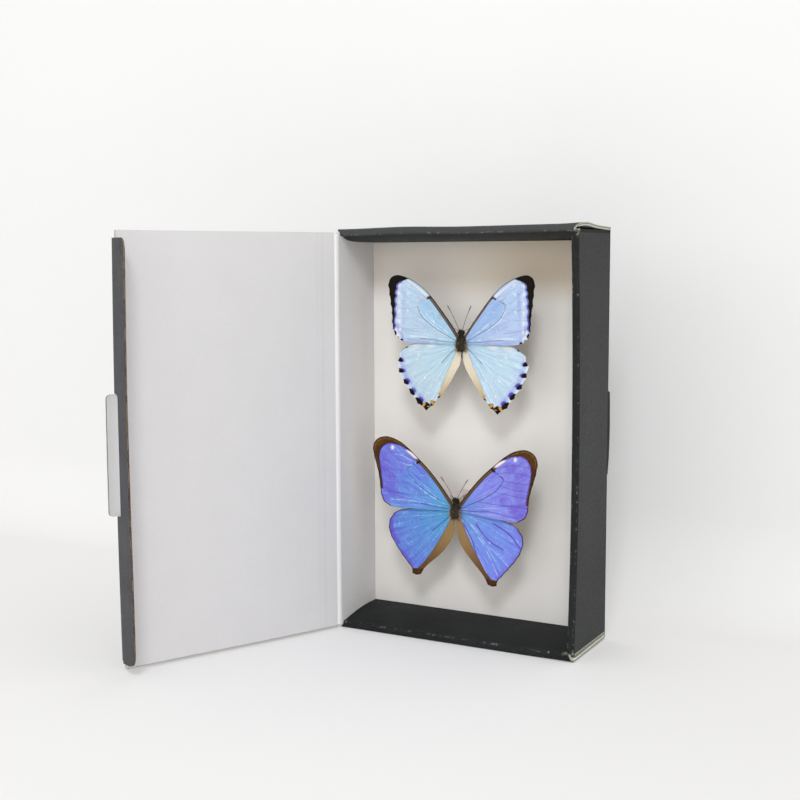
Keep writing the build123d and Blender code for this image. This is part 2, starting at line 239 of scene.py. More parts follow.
def layered_edge(name, layers):
    """A cut edge seen as even layers: share through the board and tone, from skin to core."""
    made, t, at = material(name)
    layers = layers.split()
    fibre = t.noise(at, 3200, 4)
    wobble = t.times(t.minus(t.noise(at, 700, 4), 0.5), 0.25)
    ramp = t.put("ValToRGB", {0: t.plus(t.split(t.uv())[1], wobble)}).node
    stops = ramp.color_ramp.elements
    while 2 * len(stops) < len(layers):
        stops.new(0.5)
    for stop, share, tone in zip(stops, layers[::2], layers[1::2]):
        stop.position, stop.color = float(share), (*rgb(tone), 1)
    colour = t.mix(t.band(fibre, 0.45, 0.72, 0, 0.35), ramp.outputs[0], rgb("a29f8c"))
    t.finish(colour, 0.9, t.bump(fibre, 0.8, 0.0002), 0.15)
    return made


black = liner("board_black", (0.010, 0.0115, 0.012), (0.023, 0.025, 0.025), True)
white = liner("board_white", (0.745, 0.735, 0.74), (0.775, 0.765, 0.77))
# Painted shade: the lid gets a darker copy of the white liner.
painted_shade_lid_white = liner("board_white_lid_painted_shade", (0.70, 0.69, 0.70), (0.73, 0.72, 0.73))
# Painted highlight: the hinge's crease gets a lighter copy of the white liner.
painted_highlight_fold_white = liner("board_white_fold_painted_highlight", (0.84, 0.83, 0.83), (0.87, 0.86, 0.86))
# Painted light: the flap gets a lighter copy of the black liner, for the light its face catches.
painted_light_black = liner("board_black_flap_painted_light", (0.057, 0.058, 0.065), (0.093, 0.095, 0.104), True)
# Its dark purple core tone is painted shadow along the inner liner's edge.
edge_flap = cut_edge("edge_flap", "3a3430 33242c 7f6a55 4d3a35")
edge_lid = cut_edge("edge_lid", "b9b8b0 e0dfda cfcdc2 a5a395")
BOARD_LOOK = [black, white, cut_edge("edge_fluted", "44443e e8e7dc bdbba9 74756a", True)]
BOTTOM_LOOK = [black, white, layered_edge(
    "edge_bottom_wall", "0 bcbeb2 .14 b4b6aa .24 90928a .52 9b9e94 .62 eeede6 1 e6e5de")]
TOP_LOOK = [black, white, layered_edge(
    "edge_top_wall", "0 b9b9ad .16 c4c4b8 .3 a0a093 .48 5e5e52 .66 dcddd2 1 b4b6aa")]
# Painted shade: the right wall's cut ends are near black, for the dark gap beside the top and
# bottom walls.
SIDE_LOOK = [black, white, cut_edge("edge_side_wall_painted_shade", "161814 20221e 24261f 121410")]
FLAP_LOOK = [painted_light_black, white, edge_flap]
LID_LOOK = [black, painted_shade_lid_white, edge_lid]
TAB_LOOK = [black, painted_shade_lid_white, cut_edge("edge_tab", "dcdcd2 d8d7cf 77776a 5a5a4e")]


# ------------------------------------------------------------------ meshes
def make(name, points, faces, looks, body=None, slot=None, which=None, uvs=None, values=None,
         sharp=35.0, tidy=True):
    """A mesh object of points in mm. uvs holds one pair per face corner."""
    mesh = bpy.data.meshes.new(name)
    mesh.from_pydata((np.asarray(points, float) * MM).tolist(), [], faces)
    for look in looks:
        mesh.materials.append(look)
    if which is not None:
        mesh.polygons.foreach_set("material_index", np.asarray(which, np.int32))
    if uvs is not None:
        layer = mesh.uv_layers.new(name="uv")
        layer.uv.foreach_set("vector", np.asarray(uvs, np.float32).ravel())
    for key, numbers in (values or {}).items():
        attribute = mesh.attributes.new(key, "FLOAT", "POINT")
        attribute.data.foreach_set("value", np.asarray(numbers, np.float32))
    if tidy:
        work = bmesh.new()
        work.from_mesh(mesh)
        bmesh.ops.recalc_face_normals(work, faces=work.faces)
        work.to_mesh(mesh)
        work.free()
    mesh.polygons.foreach_set("use_smooth", [True] * len(mesh.polygons))
    mesh.set_sharp_from_angle(angle=math.radians(sharp))
    made = bpy.data.objects.new(name, mesh)
    bpy.context.scene.collection.objects.link(made)
    if body:
        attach(made, body)
    return made


def sheet_of_board(name, skin, core, low, high, place, looks, steps=60, values=None, **how):
    """Board swept along its folds. skin and core are the section's points on its two sides,
    low and high the sweep's ends at each of them; place turns (u, v, along) into x, y, z."""
    skin, core = np.asarray(skin, float), np.asarray(core, float)
    n, m = len(skin), steps + 1
    low, high = (np.broadcast_to(np.asarray(end, float), (n,))[:, None] for end in (low, high))
    along = low + (high - low) * np.linspace(0, 1, m)[None]
    spread = [[np.repeat(side[:, k:k + 1], m, 1) for k in (0, 1)] for side in (skin, core)]
    points = [np.stack(place(u, v, along), -1).reshape(-1, 3) for u, v in spread]
    s, c = np.arange(2 * n * m).reshape(2, n, m)
    run = np.concatenate([[0], np.cumsum(np.linalg.norm(np.diff(skin, axis=0), axis=1))])
    faces, which, uvs = [], [], []

    def add(corners, look, at):
        faces.append([int(corner) for corner in corners])
        which.append(look)
        uvs.extend((a * MM, b) for a, b in at)

    for look, g in enumerate((s, c)):
        for i in range(n - 1):
            for j in range(m - 1):
                ring = [(i, j), (i + 1, j), (i + 1, j + 1), (i, j + 1)]
                add([g[at] for at in ring], look, [(along[at], run[at[0]] * MM) for at in ring])
    for i in (0, n - 1):
        for j in range(m - 1):
            a, b = along[i, j], along[i, j + 1]
            add((s[i, j], s[i, j + 1], c[i, j + 1], c[i, j]), 2, [(a, 0), (b, 0), (b, 1), (a, 1)])
    for j in (0, m - 1):
        for i in range(n - 1):
            a, b = run[i], run[i + 1]
            add((s[i, j], s[i + 1, j], c[i + 1, j], c[i, j]), 2, [(a, 0), (b, 0), (b, 1), (a, 1)])
    numbers = {key: np.concatenate([np.broadcast_to(rule(u, v, along), along.shape).ravel()
                                    for u, v in spread])
               for key, rule in (values or {}).items()}
    return make(name, np.concatenate(points), faces, looks, which=which, uvs=uvs,
                values=numbers, **how)


def arc(centre, radius, start, stop):
    angles = np.radians(np.linspace(start, stop, 7))
    return [(centre[0] + radius * math.cos(a), centre[1] + radius * math.sin(a)) for a in angles]


def ease(t):
    t = np.clip(t, 0, 1)
    return t * t * (3 - 2 * t)


def bell(value, middle, width):
    return np.exp(-((value - middle) / width) ** 2)


def arch(value, low, span):
    """A half sine over a span."""
    return np.sin(np.clip((value - low) / span, 0, 1) * math.pi)


# ------------------------------------------------------------------ roll-over walls
OUTER_COUNT = 16      # section points of a wall's outer layer
STRIP_END = 2.65      # how deep the front strip and its bends reach


def wall_section(height, steep=True):
    """Outer layer, front strip and inner layer, as skin points and as core points."""
    climb_u = np.linspace(2.6, 24.0, 24)
    rest = np.exp(-(climb_u - 2.6) / 4.5) if steep else (1 - (climb_u - 2.6) / 25.4) ** 1.6
    climb = FOLD + (height - FOLD) * (1 - rest)
    outer, inner = np.linspace(DEPTH - BOARD, 2.8, OUTER_COUNT), np.linspace(28.0, DEPTH - BOARD, 8)
    skin = [(u, 0.0) for u in outer] + [(1.9, 0.0)]
    skin += arc((1.3, 1.3), 1.3, 270, 180) + arc((1.3, 2.4), 1.3, 180, 90)
    skin += [(1.9, FOLD)] + list(zip(climb_u, climb)) + [(u, height) for u in inner]
    core = [(u, BOARD) for u in outer] + [(2.1, BOARD)]
    core += arc((1.8, 1.75), 0.15, 270, 180) + arc((1.8, 1.95), 0.15, 180, 90)
    core += [(2.1, FOLD - BOARD)] + [(u + 0.05, v - BOARD) for u, v in zip(climb_u, climb)]
    return skin, core + [(u, height - BOARD) for u in inner]


def wall_wear(u, v, along):
    """Rubbed ridges of the front strip, uneven along the wall."""
    uneven = 0.55 + 0.45 * np.sin(along * 0.31 + 1.3) * np.sin(along * 0.083)
    first = np.exp(-(((u - 0.35) ** 2 + (v - 0.35) ** 2) / 0.12))
    second = np.exp(-(((u - 0.45) ** 2 + (v - FOLD + 0.45) ** 2) / 0.16))
    return np.clip((0.5 * first + second) * uneven * 1.9, 0, 1)


def wall(name, section, ends, place, look, steps, **values):
    """A whole wall as one sheet, in place of its three solids."""
    made = sheet_of_board(name + "_wall_sheet", *section, *ends, place, look, steps=steps,
                          values={"wear": wall_wear, **values}, body="case", slot="board")
    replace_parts(made, *[f"{name}_wall_{layer}" for layer in ("outer", "rollover", "inner")])


def end_wall_ends(skin):
    """Left and right end of each section point of the bottom and top walls."""
    ends = []
    for i, (u, v) in enumerate(skin):
        if i < OUTER_COUNT:
            ends.append((-RIGHT, RIGHT))
        elif u <= STRIP_END:
            ends.append((-RIGHT + 1.6 * float(ease(v - 0.6)), RIGHT - 2.0 * v / FOLD))
        else:
            ends.append((SPINE_INNER, END_INNER_RIGHT))
    return zip(*ends)


def torn_ends(u, v, along):
    """Torn paper along the slanted ends of the strips, and nicks on the ridge near them."""
    slant = bell(RIGHT - 2.0 * v / FOLD, along, 0.4) * (u < 2.6) * (v > 0.9)
    marks = sum(bell(along, at, 0.28) for at in (62.0, 63.1, 64.0))
    marks = marks * np.exp(-((v - FOLD - 0.2) / 0.6) ** 2) * (u < 4)
    return np.clip(slant + 0.45 * marks, 0, 1)


def end_wall(name, is_top):
    """The bottom wall, or the top one with its heights turned over."""
    def place(u, v, along):
        wave = 0.08 * np.sin(along * 0.047 + 0.6) * ease((v - 1.7) / 2)
        # The top board has sprung up a little at its loose right end; the bottom one sags.
        if is_top:
            lift = 0.85 * ease((along + 40) / 107) * (1 - np.clip(u / DEPTH, 0, 1) ** 2)
            lift = lift + 0.75 * np.exp(-((along + 28) / 22) ** 2 - (u / 20) ** 2)
            lift = lift + 1.0 * np.exp(-((along - RIGHT) / 9) ** 2 - ((u - 13) / 10) ** 2)
            return along, FRONT + u + wave, TOP - v + lift
        sag = (0.85 - 0.3 * ease((along - 40) / 27)) * (1 - 0.75 * ease(u / 40))
        return along, FRONT + u + wave, v - sag * ease((9 - v) / 8)

    # Painted light: the top wall's front strip lighter, and its inner parts a little, for the light
    # and sheen they catch.
    def fade(u, v, along):
        front = (u < 2.2) * (v < FOLD + 0.1)
        return (1.2 * front + 0.3 * (u >= 2.2)) * is_top

    section = wall_section(RISE, is_top)
    wall(name, section, end_wall_ends(section[0]), place, TOP_LOOK if is_top else BOTTOM_LOOK,
         110, torn=torn_ends, fade=fade)


def right_wall():
    section = wall_section(2 * BOARD)
    cuts = np.array([0.5 * min(v / 2.0, 1.0) if i >= OUTER_COUNT and u <= STRIP_END else 0.0
                     for i, (u, v) in enumerate(section[0])])

    def place(u, v, along):
        bulge = 0.16 * np.sin((along - END_GAP) / 208.5 * math.pi) * (v <= 0.01)
        bow = 1.35 * arch(along, 8, 196) ** 0.8
        return RIGHT - v + bulge * arch(u, 0, DEPTH) + bow * ease((34 - u) / 34), FRONT + u, along

    def torn(u, v, along):
        ends = bell(along, 3.6, 0.7) + bell(along, 211.4, 0.8)
        return 0.9 * ends * np.exp(-((u - 0.3) ** 2 + (v - 0.3) ** 2) / 0.5)

    # Painted light: the outside face lighter, most towards the middle of its height, for the light
    # it catches.
    def fade(u, v, along):
        return (0.62 + 0.2 * arch(along, 40, 175)) * (v <= 0.01) * (u > 1.5)

    wall("right", section, (END_GAP + cuts, TOP - END_GAP - cuts), place, SIDE_LOOK, 140,
         torn=torn, fade=fade)


def small_board(name, outline, axis, lowest):
    """A tab of board: outline in the two other axes, thickness from lowest along axis."""
    count = len(outline)
    points = [(level, a, b) if axis == 0 else (a, b, level)
              for level in (lowest + BOARD, lowest) for a, b in outline]
    faces = [list(range(count)), list(range(2 * count - 1, count - 1, -1))]
    uvs = [(a * MM, b * MM) for a, b in outline + outline[::-1]]
    run = 0.0
    for i in range(count):
        j = (i + 1) % count
        faces.append([i, j, count + j, count + i])
        end = run + math.dist(outline[i], outline[j])
        uvs += [(run * MM, 0), (end * MM, 0), (end * MM, 1), (run * MM, 1)]
        run = end
    make(name, points, faces, BOARD_LOOK, body="case", slot="board",
         which=[0, 0] + [2] * count, uvs=uvs)


end_wall("bottom", False)
end_wall("top", True)
right_wall()
LOCK_START, LOCK_LOW, LOCK_HIGH = 22.0, 87.25, 130.75
LOCK_BACK = BACK - 0.05
small_board("right_lock_tab", [
    (LOCK_START, LOCK_LOW), (LOCK_BACK, LOCK_LOW + 0.6), (LOCK_BACK, LOCK_HIGH - 0.6),
    (LOCK_START, LOCK_HIGH)], 0, RIGHT_INNER)
small_board("right_lock_lip", [
    (LOCK_START, LOCK_LOW), (BACK, LOCK_LOW), (BACK + 1.5, 96.0), (BACK + 2.3, 106.0),
    (BACK + 2.35, 112.0), (BACK + 2.0, 126.0), (BACK + 1.6, LOCK_HIGH - 0.6), (BACK, LOCK_HIGH),
    (LOCK_START, LOCK_HIGH)], 0, RIGHT - BOARD)
for end, level in (("bottom", RISE - BOARD), ("top", TOP - RISE)):
    small_board(f"{end}_lock_tab", [(-15.0, LOCK_START), (-14.4, LOCK_BACK), (14.4, LOCK_BACK),
                                    (15.0, LOCK_START)], 2, level)


# ------------------------------------------------------------------ kept solids
def dress(node, looks, choose=lambda face: 0):
    """Materials for a CAD node, one for each face by the way the face looks."""
    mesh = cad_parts[node].data
    mesh.materials.clear()
    for look in looks:
        mesh.materials.append(look)
    for face in mesh.polygons:
        face.material_index = int(choose(face))


dress("back_panel", [black, white], lambda f: f.normal.y < -0.9)
dress("spine_wall", [black, white], lambda f: f.normal.x >= -0.5)
for end, level in (("bottom", 1.65), ("top", TOP - END_GAP)):
    # The top wall's black liner goes round the right flap's fold in full view.
    shown = 0.5 if end == "top" else 2
    look = cut_edge(f"edge_{end}_flap", "77776d d8d7c6 c9c6b2 66675a", True, level)
    dress(f"right_dust_flap_{end}", [black, look],
          lambda f: abs(f.normal.z) < 0.5 and f.normal.x <= shown)
    dress(f"spine_dust_flap_{end}", [black, edge_flap], lambda f: abs(f.normal.z) < 0.5)


def foam_look(name, dark, light, cell, painted_shade_tint=None):
    made, t, at = material(name)
    cloud = t.noise(at, 22, 3, 0.5)
    grain = t.noise(at, 1800)
    shade = t.plus(t.times(cloud, 0.5), t.times(grain, 0.5))
    colour = t.mix(t.band(shade, 0.35, 0.65), dark, light)
    # Painted shade: a warm tint in the upper right corner, under the top wall, where its shadow
    # falls on the foam.
    if painted_shade_tint:    # a warm patch in the upper right corner
        x, _, z = t.split(at)
        high = t.band(t.plus(z, t.times(cloud, 0.012)), 0.178, 0.198)
        colour = t.over(colour, (high, t.band(x, -0.035, 0.035, 0.3, 1.0), painted_shade_tint))
    cells = t.put("TexVoronoi", {"Vector": at, "Scale": cell, "Randomness": 1.0})
    normal = t.bump(grain, 0.15, 0.0001, t.bump(cells, 0.12, 0.0002))
    t.finish(colour, t.band(grain, 0.3, 0.7, 0.84, 0.96), normal, 0.25)
    return made


def steel_look():
    made, t, at = material("pin_steel")
    drawn = t.noise(t.stretch(at, (1, 0.05, 1)), 6000, 3, 0.5)
    colour = t.mix(drawn, (0.06, 0.058, 0.055), (0.12, 0.117, 0.11))
    t.finish(colour, t.band(drawn, 0.3, 0.7, 0.25, 0.42), t.bump(drawn, 0.2, 0.00002), 0.5,
             Metallic=1.0)
    return made


# The last colour is the warm tint of the painted shade.
dress("foam_backing", [foam_look("foam_white", (0.86, 0.835, 0.80), (0.91, 0.885, 0.85), 1300.0,
                                 (0.84, 0.73, 0.59))])
block_foam = foam_look("foam_block", (0.62, 0.55, 0.52), (0.72, 0.66, 0.62), 1700.0)
steel = steel_look()
for half in ("upper", "lower"):
    dress(half + "_support_block", [block_foam])
    dress(half + "_pin", [steel])


# ------------------------------------------------------------------ lid and flap
def up_the_lid(z):
    return np.clip((z - LID_LOW) / (LID_HIGH - LID_LOW), 0, 1)


def fold_bow(z):
    """How far the folded edge has warped outwards, most of all in the middle."""
    share = up_the_lid(z)
    return 1.6 - 1.2 * share + 1.9 * np.sin(share * math.pi)


def in_plan(origin, out, inward, along, depth, z):
    return (*(origin[k] + out[k] * along + inward[k] * depth for k in (0, 1)), z)


def on_lid(z, depth, along):
    """Lid coordinates: height, depth to the inside and distance from the hinge axis."""
    depth = depth - fold_bow(z) * ease((along - 8) / 120) ** 1.6
    return in_plan(HINGE, LID_OUT, LID_IN, along, depth, z)


def on_flap(z, depth, along):
    """The flap keeps its free edge nearly straight, so the warp makes it wider at the fold."""
    share = np.clip(along / FLAP_REACH, 0, 1)
    bent = fold_bow(z) * (1 - share) + (0.2 + 1.1 * np.sin(up_the_lid(z) * math.pi)) * share
    return in_plan(FLAP_AXIS, FLAP_OUT, FLAP_IN, along - bent * math.sin(FLAP_TURN),
                   depth - bent * math.cos(FLAP_TURN), z)


def plate(name, heights, low, high, place, looks, replaced, **how):
    """A flat sheet between two ends at each of its heights."""
    skin, core = ([(z, half) for z in heights] for half in (-BOARD / 2, BOARD / 2))
    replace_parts(sheet_of_board(name, skin, core, low, high, place, looks, **how), replaced)


def in_order(*heights, digits=4):
    return sorted(set(np.round(np.concatenate(heights), digits)))


def rounding(radius, count):
    """Distances that follow a rounded corner evenly."""
    return radius * (1 - np.cos(np.linspace(0, math.pi / 2, count)))


def rounded_end(z, low, high, radius):
    """How much a rounded corner takes off at this height."""
    d = min(z - low, high - z)
    if d >= radius:
        return 0.0
    return radius - math.sqrt(max(radius ** 2 - (radius - d) ** 2, 0.0))


TAB_LOW, TAB_HIGH, TAB_REACH = LID_MIDDLE - 30.4, LID_MIDDLE + 28.4, 5.0
NOTCH_LOW, NOTCH_HIGH, NOTCH_REACH = TAB_LOW - 0.5, TAB_HIGH + 0.5, 4.3
heights = in_order(np.linspace(LID_LOW, LID_HIGH, 90),
                   [LID_LOW + 0.25, LID_LOW + 0.5, NOTCH_LOW, TAB_LOW - 0.45, TAB_HIGH + 0.45,
                    NOTCH_HIGH], digits=3)
lid_ends = [FOLD_LINE - 0.9 if z <= NOTCH_LOW or z >= NOTCH_HIGH else FOLD_LINE for z in heights]


def pressed(along, depths, widths):
    return sum(d * bell(along, at, w) for at, d, w in zip(PRESSED, depths, widths))


def lid_place(z, depth, along):
    warp = 0.15 * np.sin(along / 127 * math.pi) * np.sin((z - LID_LOW) / 212.4 * math.pi)
    return on_lid(z, depth + warp - pressed(along, (0.07, 0.05), (0.5, 0.6)) * (depth > 0), along)


def lid_wear(u, v, along):
    return 0.9 * bell(along, FOLD_LINE, 0.8) * (v < 0)


def lid_painted_shade_line(u, v, along):
    """Painted shade: a dark line for the shadow along the lid's bottom, and darker faint pressed
    lines beside the hinge.
    """
    lines = pressed(along, (0.1, 0.06), (0.6, 0.6))
    return (v > 0) * np.clip(0.9 * (u < LID_LOW + 0.3) + lines, 0, 1)


plate("lid_sheet", heights, 3.0, lid_ends, lid_place, LID_LOOK, "lid_panel", steps=160,
      values={"wear": lid_wear, "painted_shade_line": lid_painted_shade_line}, body="lid", slot="board_lid")

heights = in_order(TAB_LOW + rounding(TAB_CORNER, 9), TAB_HIGH - rounding(TAB_CORNER, 9),
                   np.linspace(TAB_LOW + TAB_CORNER, TAB_HIGH - TAB_CORNER, 24))
plate("pull_tab_sheet", heights, FOLD_LINE,
      [FOLD_LINE + TAB_REACH - rounded_end(z, TAB_LOW, TAB_HIGH, TAB_CORNER) for z in heights],
      on_lid, TAB_LOOK, "pull_tab", steps=10, body="lid", slot="board_lid")

heights = in_order(
    FLAP_LOW + rounding(FLAP_CORNER, 12), FLAP_HIGH - rounding(FLAP_CORNER, 12),
    np.linspace(FLAP_LOW + FLAP_CORNER, NOTCH_LOW, 22), [NOTCH_LOW - 0.03, NOTCH_HIGH + 0.03],
    NOTCH_LOW + rounding(TAB_CORNER, 8), NOTCH_HIGH - rounding(TAB_CORNER, 8),
    np.linspace(NOTCH_HIGH, FLAP_HIGH - FLAP_CORNER, 22))
flap_low = [1.0 if z < NOTCH_LOW - 0.001 or z > NOTCH_HIGH + 0.001
            else NOTCH_REACH - rounded_end(z, NOTCH_LOW, NOTCH_HIGH, TAB_CORNER) for z in heights]
flap_high = [FLAP_REACH - rounded_end(z, FLAP_LOW, FLAP_HIGH, FLAP_CORNER) for z in heights]


def flap_place(z, depth, along):
    wave = 0.22 * np.sin(z * 0.033 + 0.5) * ease(along / FLAP_REACH)
    crushed = 1 - 0.36 * ease((along - 10.0) / 4.0)
    sagging = 1.3 * ease((36 - z) / 30) * (1 - np.clip(along / FLAP_REACH, 0, 1))
    return on_flap(z - sagging, depth * crushed + wave, along)


def flap_wear(u, v, along):
    return (0.35 * bell(along, FLAP_REACH, 0.7) + 0.7 * bell(along, 1.0, 0.8)) * (v < 0)


plate("tuck_flap_sheet", heights, flap_low, flap_high, flap_place, FLAP_LOOK, "tuck_flap",
      steps=16, values={"wear": flap_wear}, body="flap", slot="board")


def crease(name, skin, core, low, high, place, looks):
    """Board pressed to a fold between two bodies, as a strip."""
    made = sheet_of_board(name, skin, core, low, high, place, looks, steps=100, slot="board",
                          values={"wear": lambda u, v, a: 0.45 + 0.35 * np.sin(a * 0.4)})
    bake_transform(made)


def hinge_band():
    """The lid's hinge: two pressed lines, and between them a band that stands out a little."""
    skin, core = [], []
    for s in np.linspace(-1.0, 3.1, 34):
        turn = math.radians(-24.5) * float(ease((s + 0.6) / 2.6))
        out = np.array([math.sin(turn), -math.cos(turn)])
        inward = np.array([math.cos(turn), math.sin(turn)])
        path = HINGE + (np.array([0.0, -1.0]) * s if s < 0 else
                        (out * 0.35 + LID_OUT * 0.65) * s)
        if s > 2.2:
            path = HINGE + LID_OUT * s
            inward = LID_IN
        press = 0.14 * (bell(s, -0.2, 0.22) + bell(s, 2.5, 0.22))
        bulge = 0.34 * float(ease((s + 0.3) / 1.2) * ease((2.7 - s) / 1.2))
        skin.append(path - inward * (0.8 - press))
        core.append(path + inward * (0.8 - press + bulge))
    # Its inner side takes the lighter white copy, a painted highlight along the crease.
    crease("hinge_crease", skin, core, 1.75, 212.6,
           lambda u, v, a: (u, v, a), [black, painted_highlight_fold_white, edge_lid])


def flap_fold(name, low, high):
    """The tuck flap's fold, in the lid's own frame, so that it follows the lid's warped edge."""
    skin, core = [], []
    for s in np.linspace(-1.1, 1.1, 15):
        turn = FLAP_TURN * float(ease((s + 1.1) / 2.2))
        a = min(s, 0.0) + max(s, 0.0) * math.cos(FLAP_TURN)
        b = max(s, 0.0) * math.sin(FLAP_TURN)
        skin.append((a + 0.8 * math.sin(turn), b - 0.8 * math.cos(turn)))
        core.append((a - 0.5 * math.sin(turn), b + 0.5 * math.cos(turn)))
    crease(name, skin, core, low, high,
           lambda u, v, a: on_lid(a, v, FOLD_LINE + u), FLAP_LOOK)


hinge_band()
flap_fold("flap_crease_lower", FLAP_LOW, NOTCH_LOW)
flap_fold("flap_crease_upper", NOTCH_HIGH, FLAP_HIGH)


# ------------------------------------------------------------------ specimens
# Each wing: slope in degrees, radius it curves by and depth of the scallops, then the points of
# its front edge, outer edge and inner edge, in mm from the middle of the body.
UPPER = {
    "name": "upper", "centre": (-1.8, 155.7), "roll": 0.0, "slot": "wing_pale_blue",
    "antenna_tip": (6.9, -3.0, 19.7), "leg_tip": (4.4, 0.0, 7.5), "seed": 41,
    "fore": (2.3, 980.0, 0.45, """
        1 2.8, 7.6 12, 18 24.8, 27 31.9, 36 35.1, 40.6 33.6, 42.1 29.6""", """
        41.5 24.9, 40.9 19.8, 40.2 15, 40 10.6, 39.6 6.6, 38.3 3.2, 35.4 .8""", """
        29.8 -.3, 20 -.5, 1 -.6"""),
    "hind": (0.6, 1500.0, 0.9, """
        1 .4, 12 1.2, 24 .2, 31.8 -2.6, 36.4 -5.8""", """
        38.1 -11.2, 37 -16.8, 34 -22.6, 30.1 -27.8, 26 -32.9, 20.6 -36.4, 16.2 -33.4,
        12.8 -29.2""", """
        8.2 -22.9, 4 -16.2, 1 -10.4, .4 -3"""),
}
LOWER = {
    "name": "lower", "centre": (-5.0, 66.9), "roll": 1.5, "slot": "wing_violet_blue",
    "antenna_tip": (8.0, -3.0, 18.0), "leg_tip": (3.6, 0.0, 7.6), "seed": 97,
    "fore": (4.6, 670.0, 0.18, """
        1 2.4, 7.2 10.8, 13 17.7, 19 23.7, 30.2 33.1, 38.4 36.5, 44 35.9, 47.1 33, 47.9 29.4""", """
        47 24.8, 45.5 19.6, 44.2 14.8, 43.4 9.8, 43 5.2, 41.2 1.2, 37.4 -1.1""", """
        32 -1.5, 22 -1.2, 1 -.6"""),
    "hind": (1.2, 800.0, 0.22, """
        1 .4, 12 .9, 24 -1.2, 32.2 -2.9, 36.6 -5.4""", """
        39.1 -9.2, 39.5 -13.6, 37.7 -18.8, 34.6 -23.5, 31 -28, 27.6 -32, 25.3 -34.8,
        24.9 -37.2, 22.4 -37.9, 19.8 -37.2, 19 -35.2""", """
        15.6 -31.2, 9.4 -25.4, 4.2 -19.2, 1 -12.2, .5 -3"""),
}


def pts(text):
    """Points written as numbers, with commas between the points."""
    return [tuple(map(float, point.split())) for point in text.split(",")]


def smooth_line(points, count=8):
    """A curve through the points."""
    p = np.array([points[0], *points, points[-1]], float)
    p[0] = 2 * p[1] - p[2]
    p[-1] = 2 * p[-2] - p[-3]
    line = []
    for a, b, c, d in zip(p, p[1:], p[2:], p[3:]):
        for t in np.linspace(0, 1, count, endpoint=False):
            line.append(0.5 * (2 * b + (c - a) * t + (2 * a - 5 * b + 4 * c - d) * t ** 2
                               + (3 * b - a - 3 * c + d) * t ** 3))
    return np.array(line + [p[-2]])


def scallops(points, bow):
    """A rounded edge through the vein ends, hollowed between them."""
    line = smooth_line(points)
    share = np.linspace(0, 1, 8, endpoint=False)
    hollow = np.append(np.tile(4 * share * (1 - share), len(points) - 1), 0.0)
    along = np.gradient(line, axis=0)
    along /= np.linalg.norm(along, axis=1)[:, None]
    return line + bow * hollow[:, None] * np.stack([along[:, 1], -along[:, 0]], 1)


def respace(line, count):
    step = np.concatenate([[0], np.cumsum(np.linalg.norm(np.diff(line, axis=0), axis=1))])
    at = np.linspace(0, step[-1], count)
    return np.stack([np.interp(at, step, line[:, k]) for k in (0, 1)], 1)


def distance(points, line):
    """Distance of each point from a polyline."""
    line = np.asarray(line, float)
    best = np.full(len(points), 1e9)
    for a, b in zip(line, line[1:]):
        ab = b - a
        t = np.clip(((points - a) @ ab) / max(ab @ ab, 1e-12), 0, 1)
        best = np.minimum(best, np.linalg.norm(points - a - t[:, None] * ab, axis=1))
    return best


def inside(points, polygon):
    polygon = np.asarray(polygon, float)
    hit = np.zeros(len(points), bool)
    for a, b in zip(polygon, np.roll(polygon, -1, axis=0)):
        crosses = (a[1] > points[:, 1]) != (b[1] > points[:, 1])
        if a[1] == b[1]:
            continue
        x = a[0] + (points[:, 1] - a[1]) * (b[0] - a[0]) / (b[1] - a[1])
        hit ^= crosses & (points[:, 0] < x)
    return hit


def area_mask(p, polygon, soft):
    """1 inside a closed outline, 0 outside, with a soft edge."""
    d = distance(p, [*polygon, polygon[0]])
    return ease(0.5 + np.where(inside(p, polygon), d, -d) / (2 * soft))


def line_mask(p, line, width):
    d = distance(p, smooth_line(line) if len(line) > 2 else line)
    return ease(1 - (d - width * 0.4) / width)


def near(p, line, reach):
    """1 on a line, falling to 0 at reach from it."""
    return ease(1 - distance(p, line) / reach)


def spot(p, x, z, radius, squeeze=1.0, turn=0.0):
    c, s = math.cos(math.radians(turn)), math.sin(math.radians(turn))
    dx, dz = p[:, 0] - x, p[:, 1] - z
    return ease(1.5 - np.hypot(dx * c + dz * s, (dz * c - dx * s) / squeeze) / radius)


def spots(p, marks):
    return most(*[spot(p, *mark) for mark in marks])


def eyespots(p, marks):
    """Faint double rings, each given as its place and size."""
    masks = []
    for x, z, size in marks:
        r = np.hypot(p[:, 0] - x, p[:, 1] - z)
        masks += [0.7 * bell(r, size, 0.4), 0.45 * bell(r, size * 1.75, 0.5)]
    return most(*masks)


def most(*masks):
    return np.clip(np.max(np.stack(masks), axis=0), 0, 1)


KINDS = {"area": area_mask, "line": line_mask, "near": near, "spots": spots,
         "rings": eyespots}


def drawn(rows, p, left):
    """The masks of one wing. A row is: mark, kind, strength and sizes, then the points, with /
    between lines of the same sort, and it goes on in indented lines. A strength of a|b is a on
    the left wing and b on the right."""
    masks = {}
    for row in rows.strip().replace("\n ", " ").splitlines():
        head, places = row.split(":")
        mark, kind, strength, *sizes = head.split()
        strength = float(strength.split("|")[0 if left else -1])
        for place in places.split("/") if strength else ():
            new = strength * KINDS[kind](p, pts(place), *map(float, sizes))
            masks[mark] = most(masks.get(mark, 0 * new), new)
    return masks


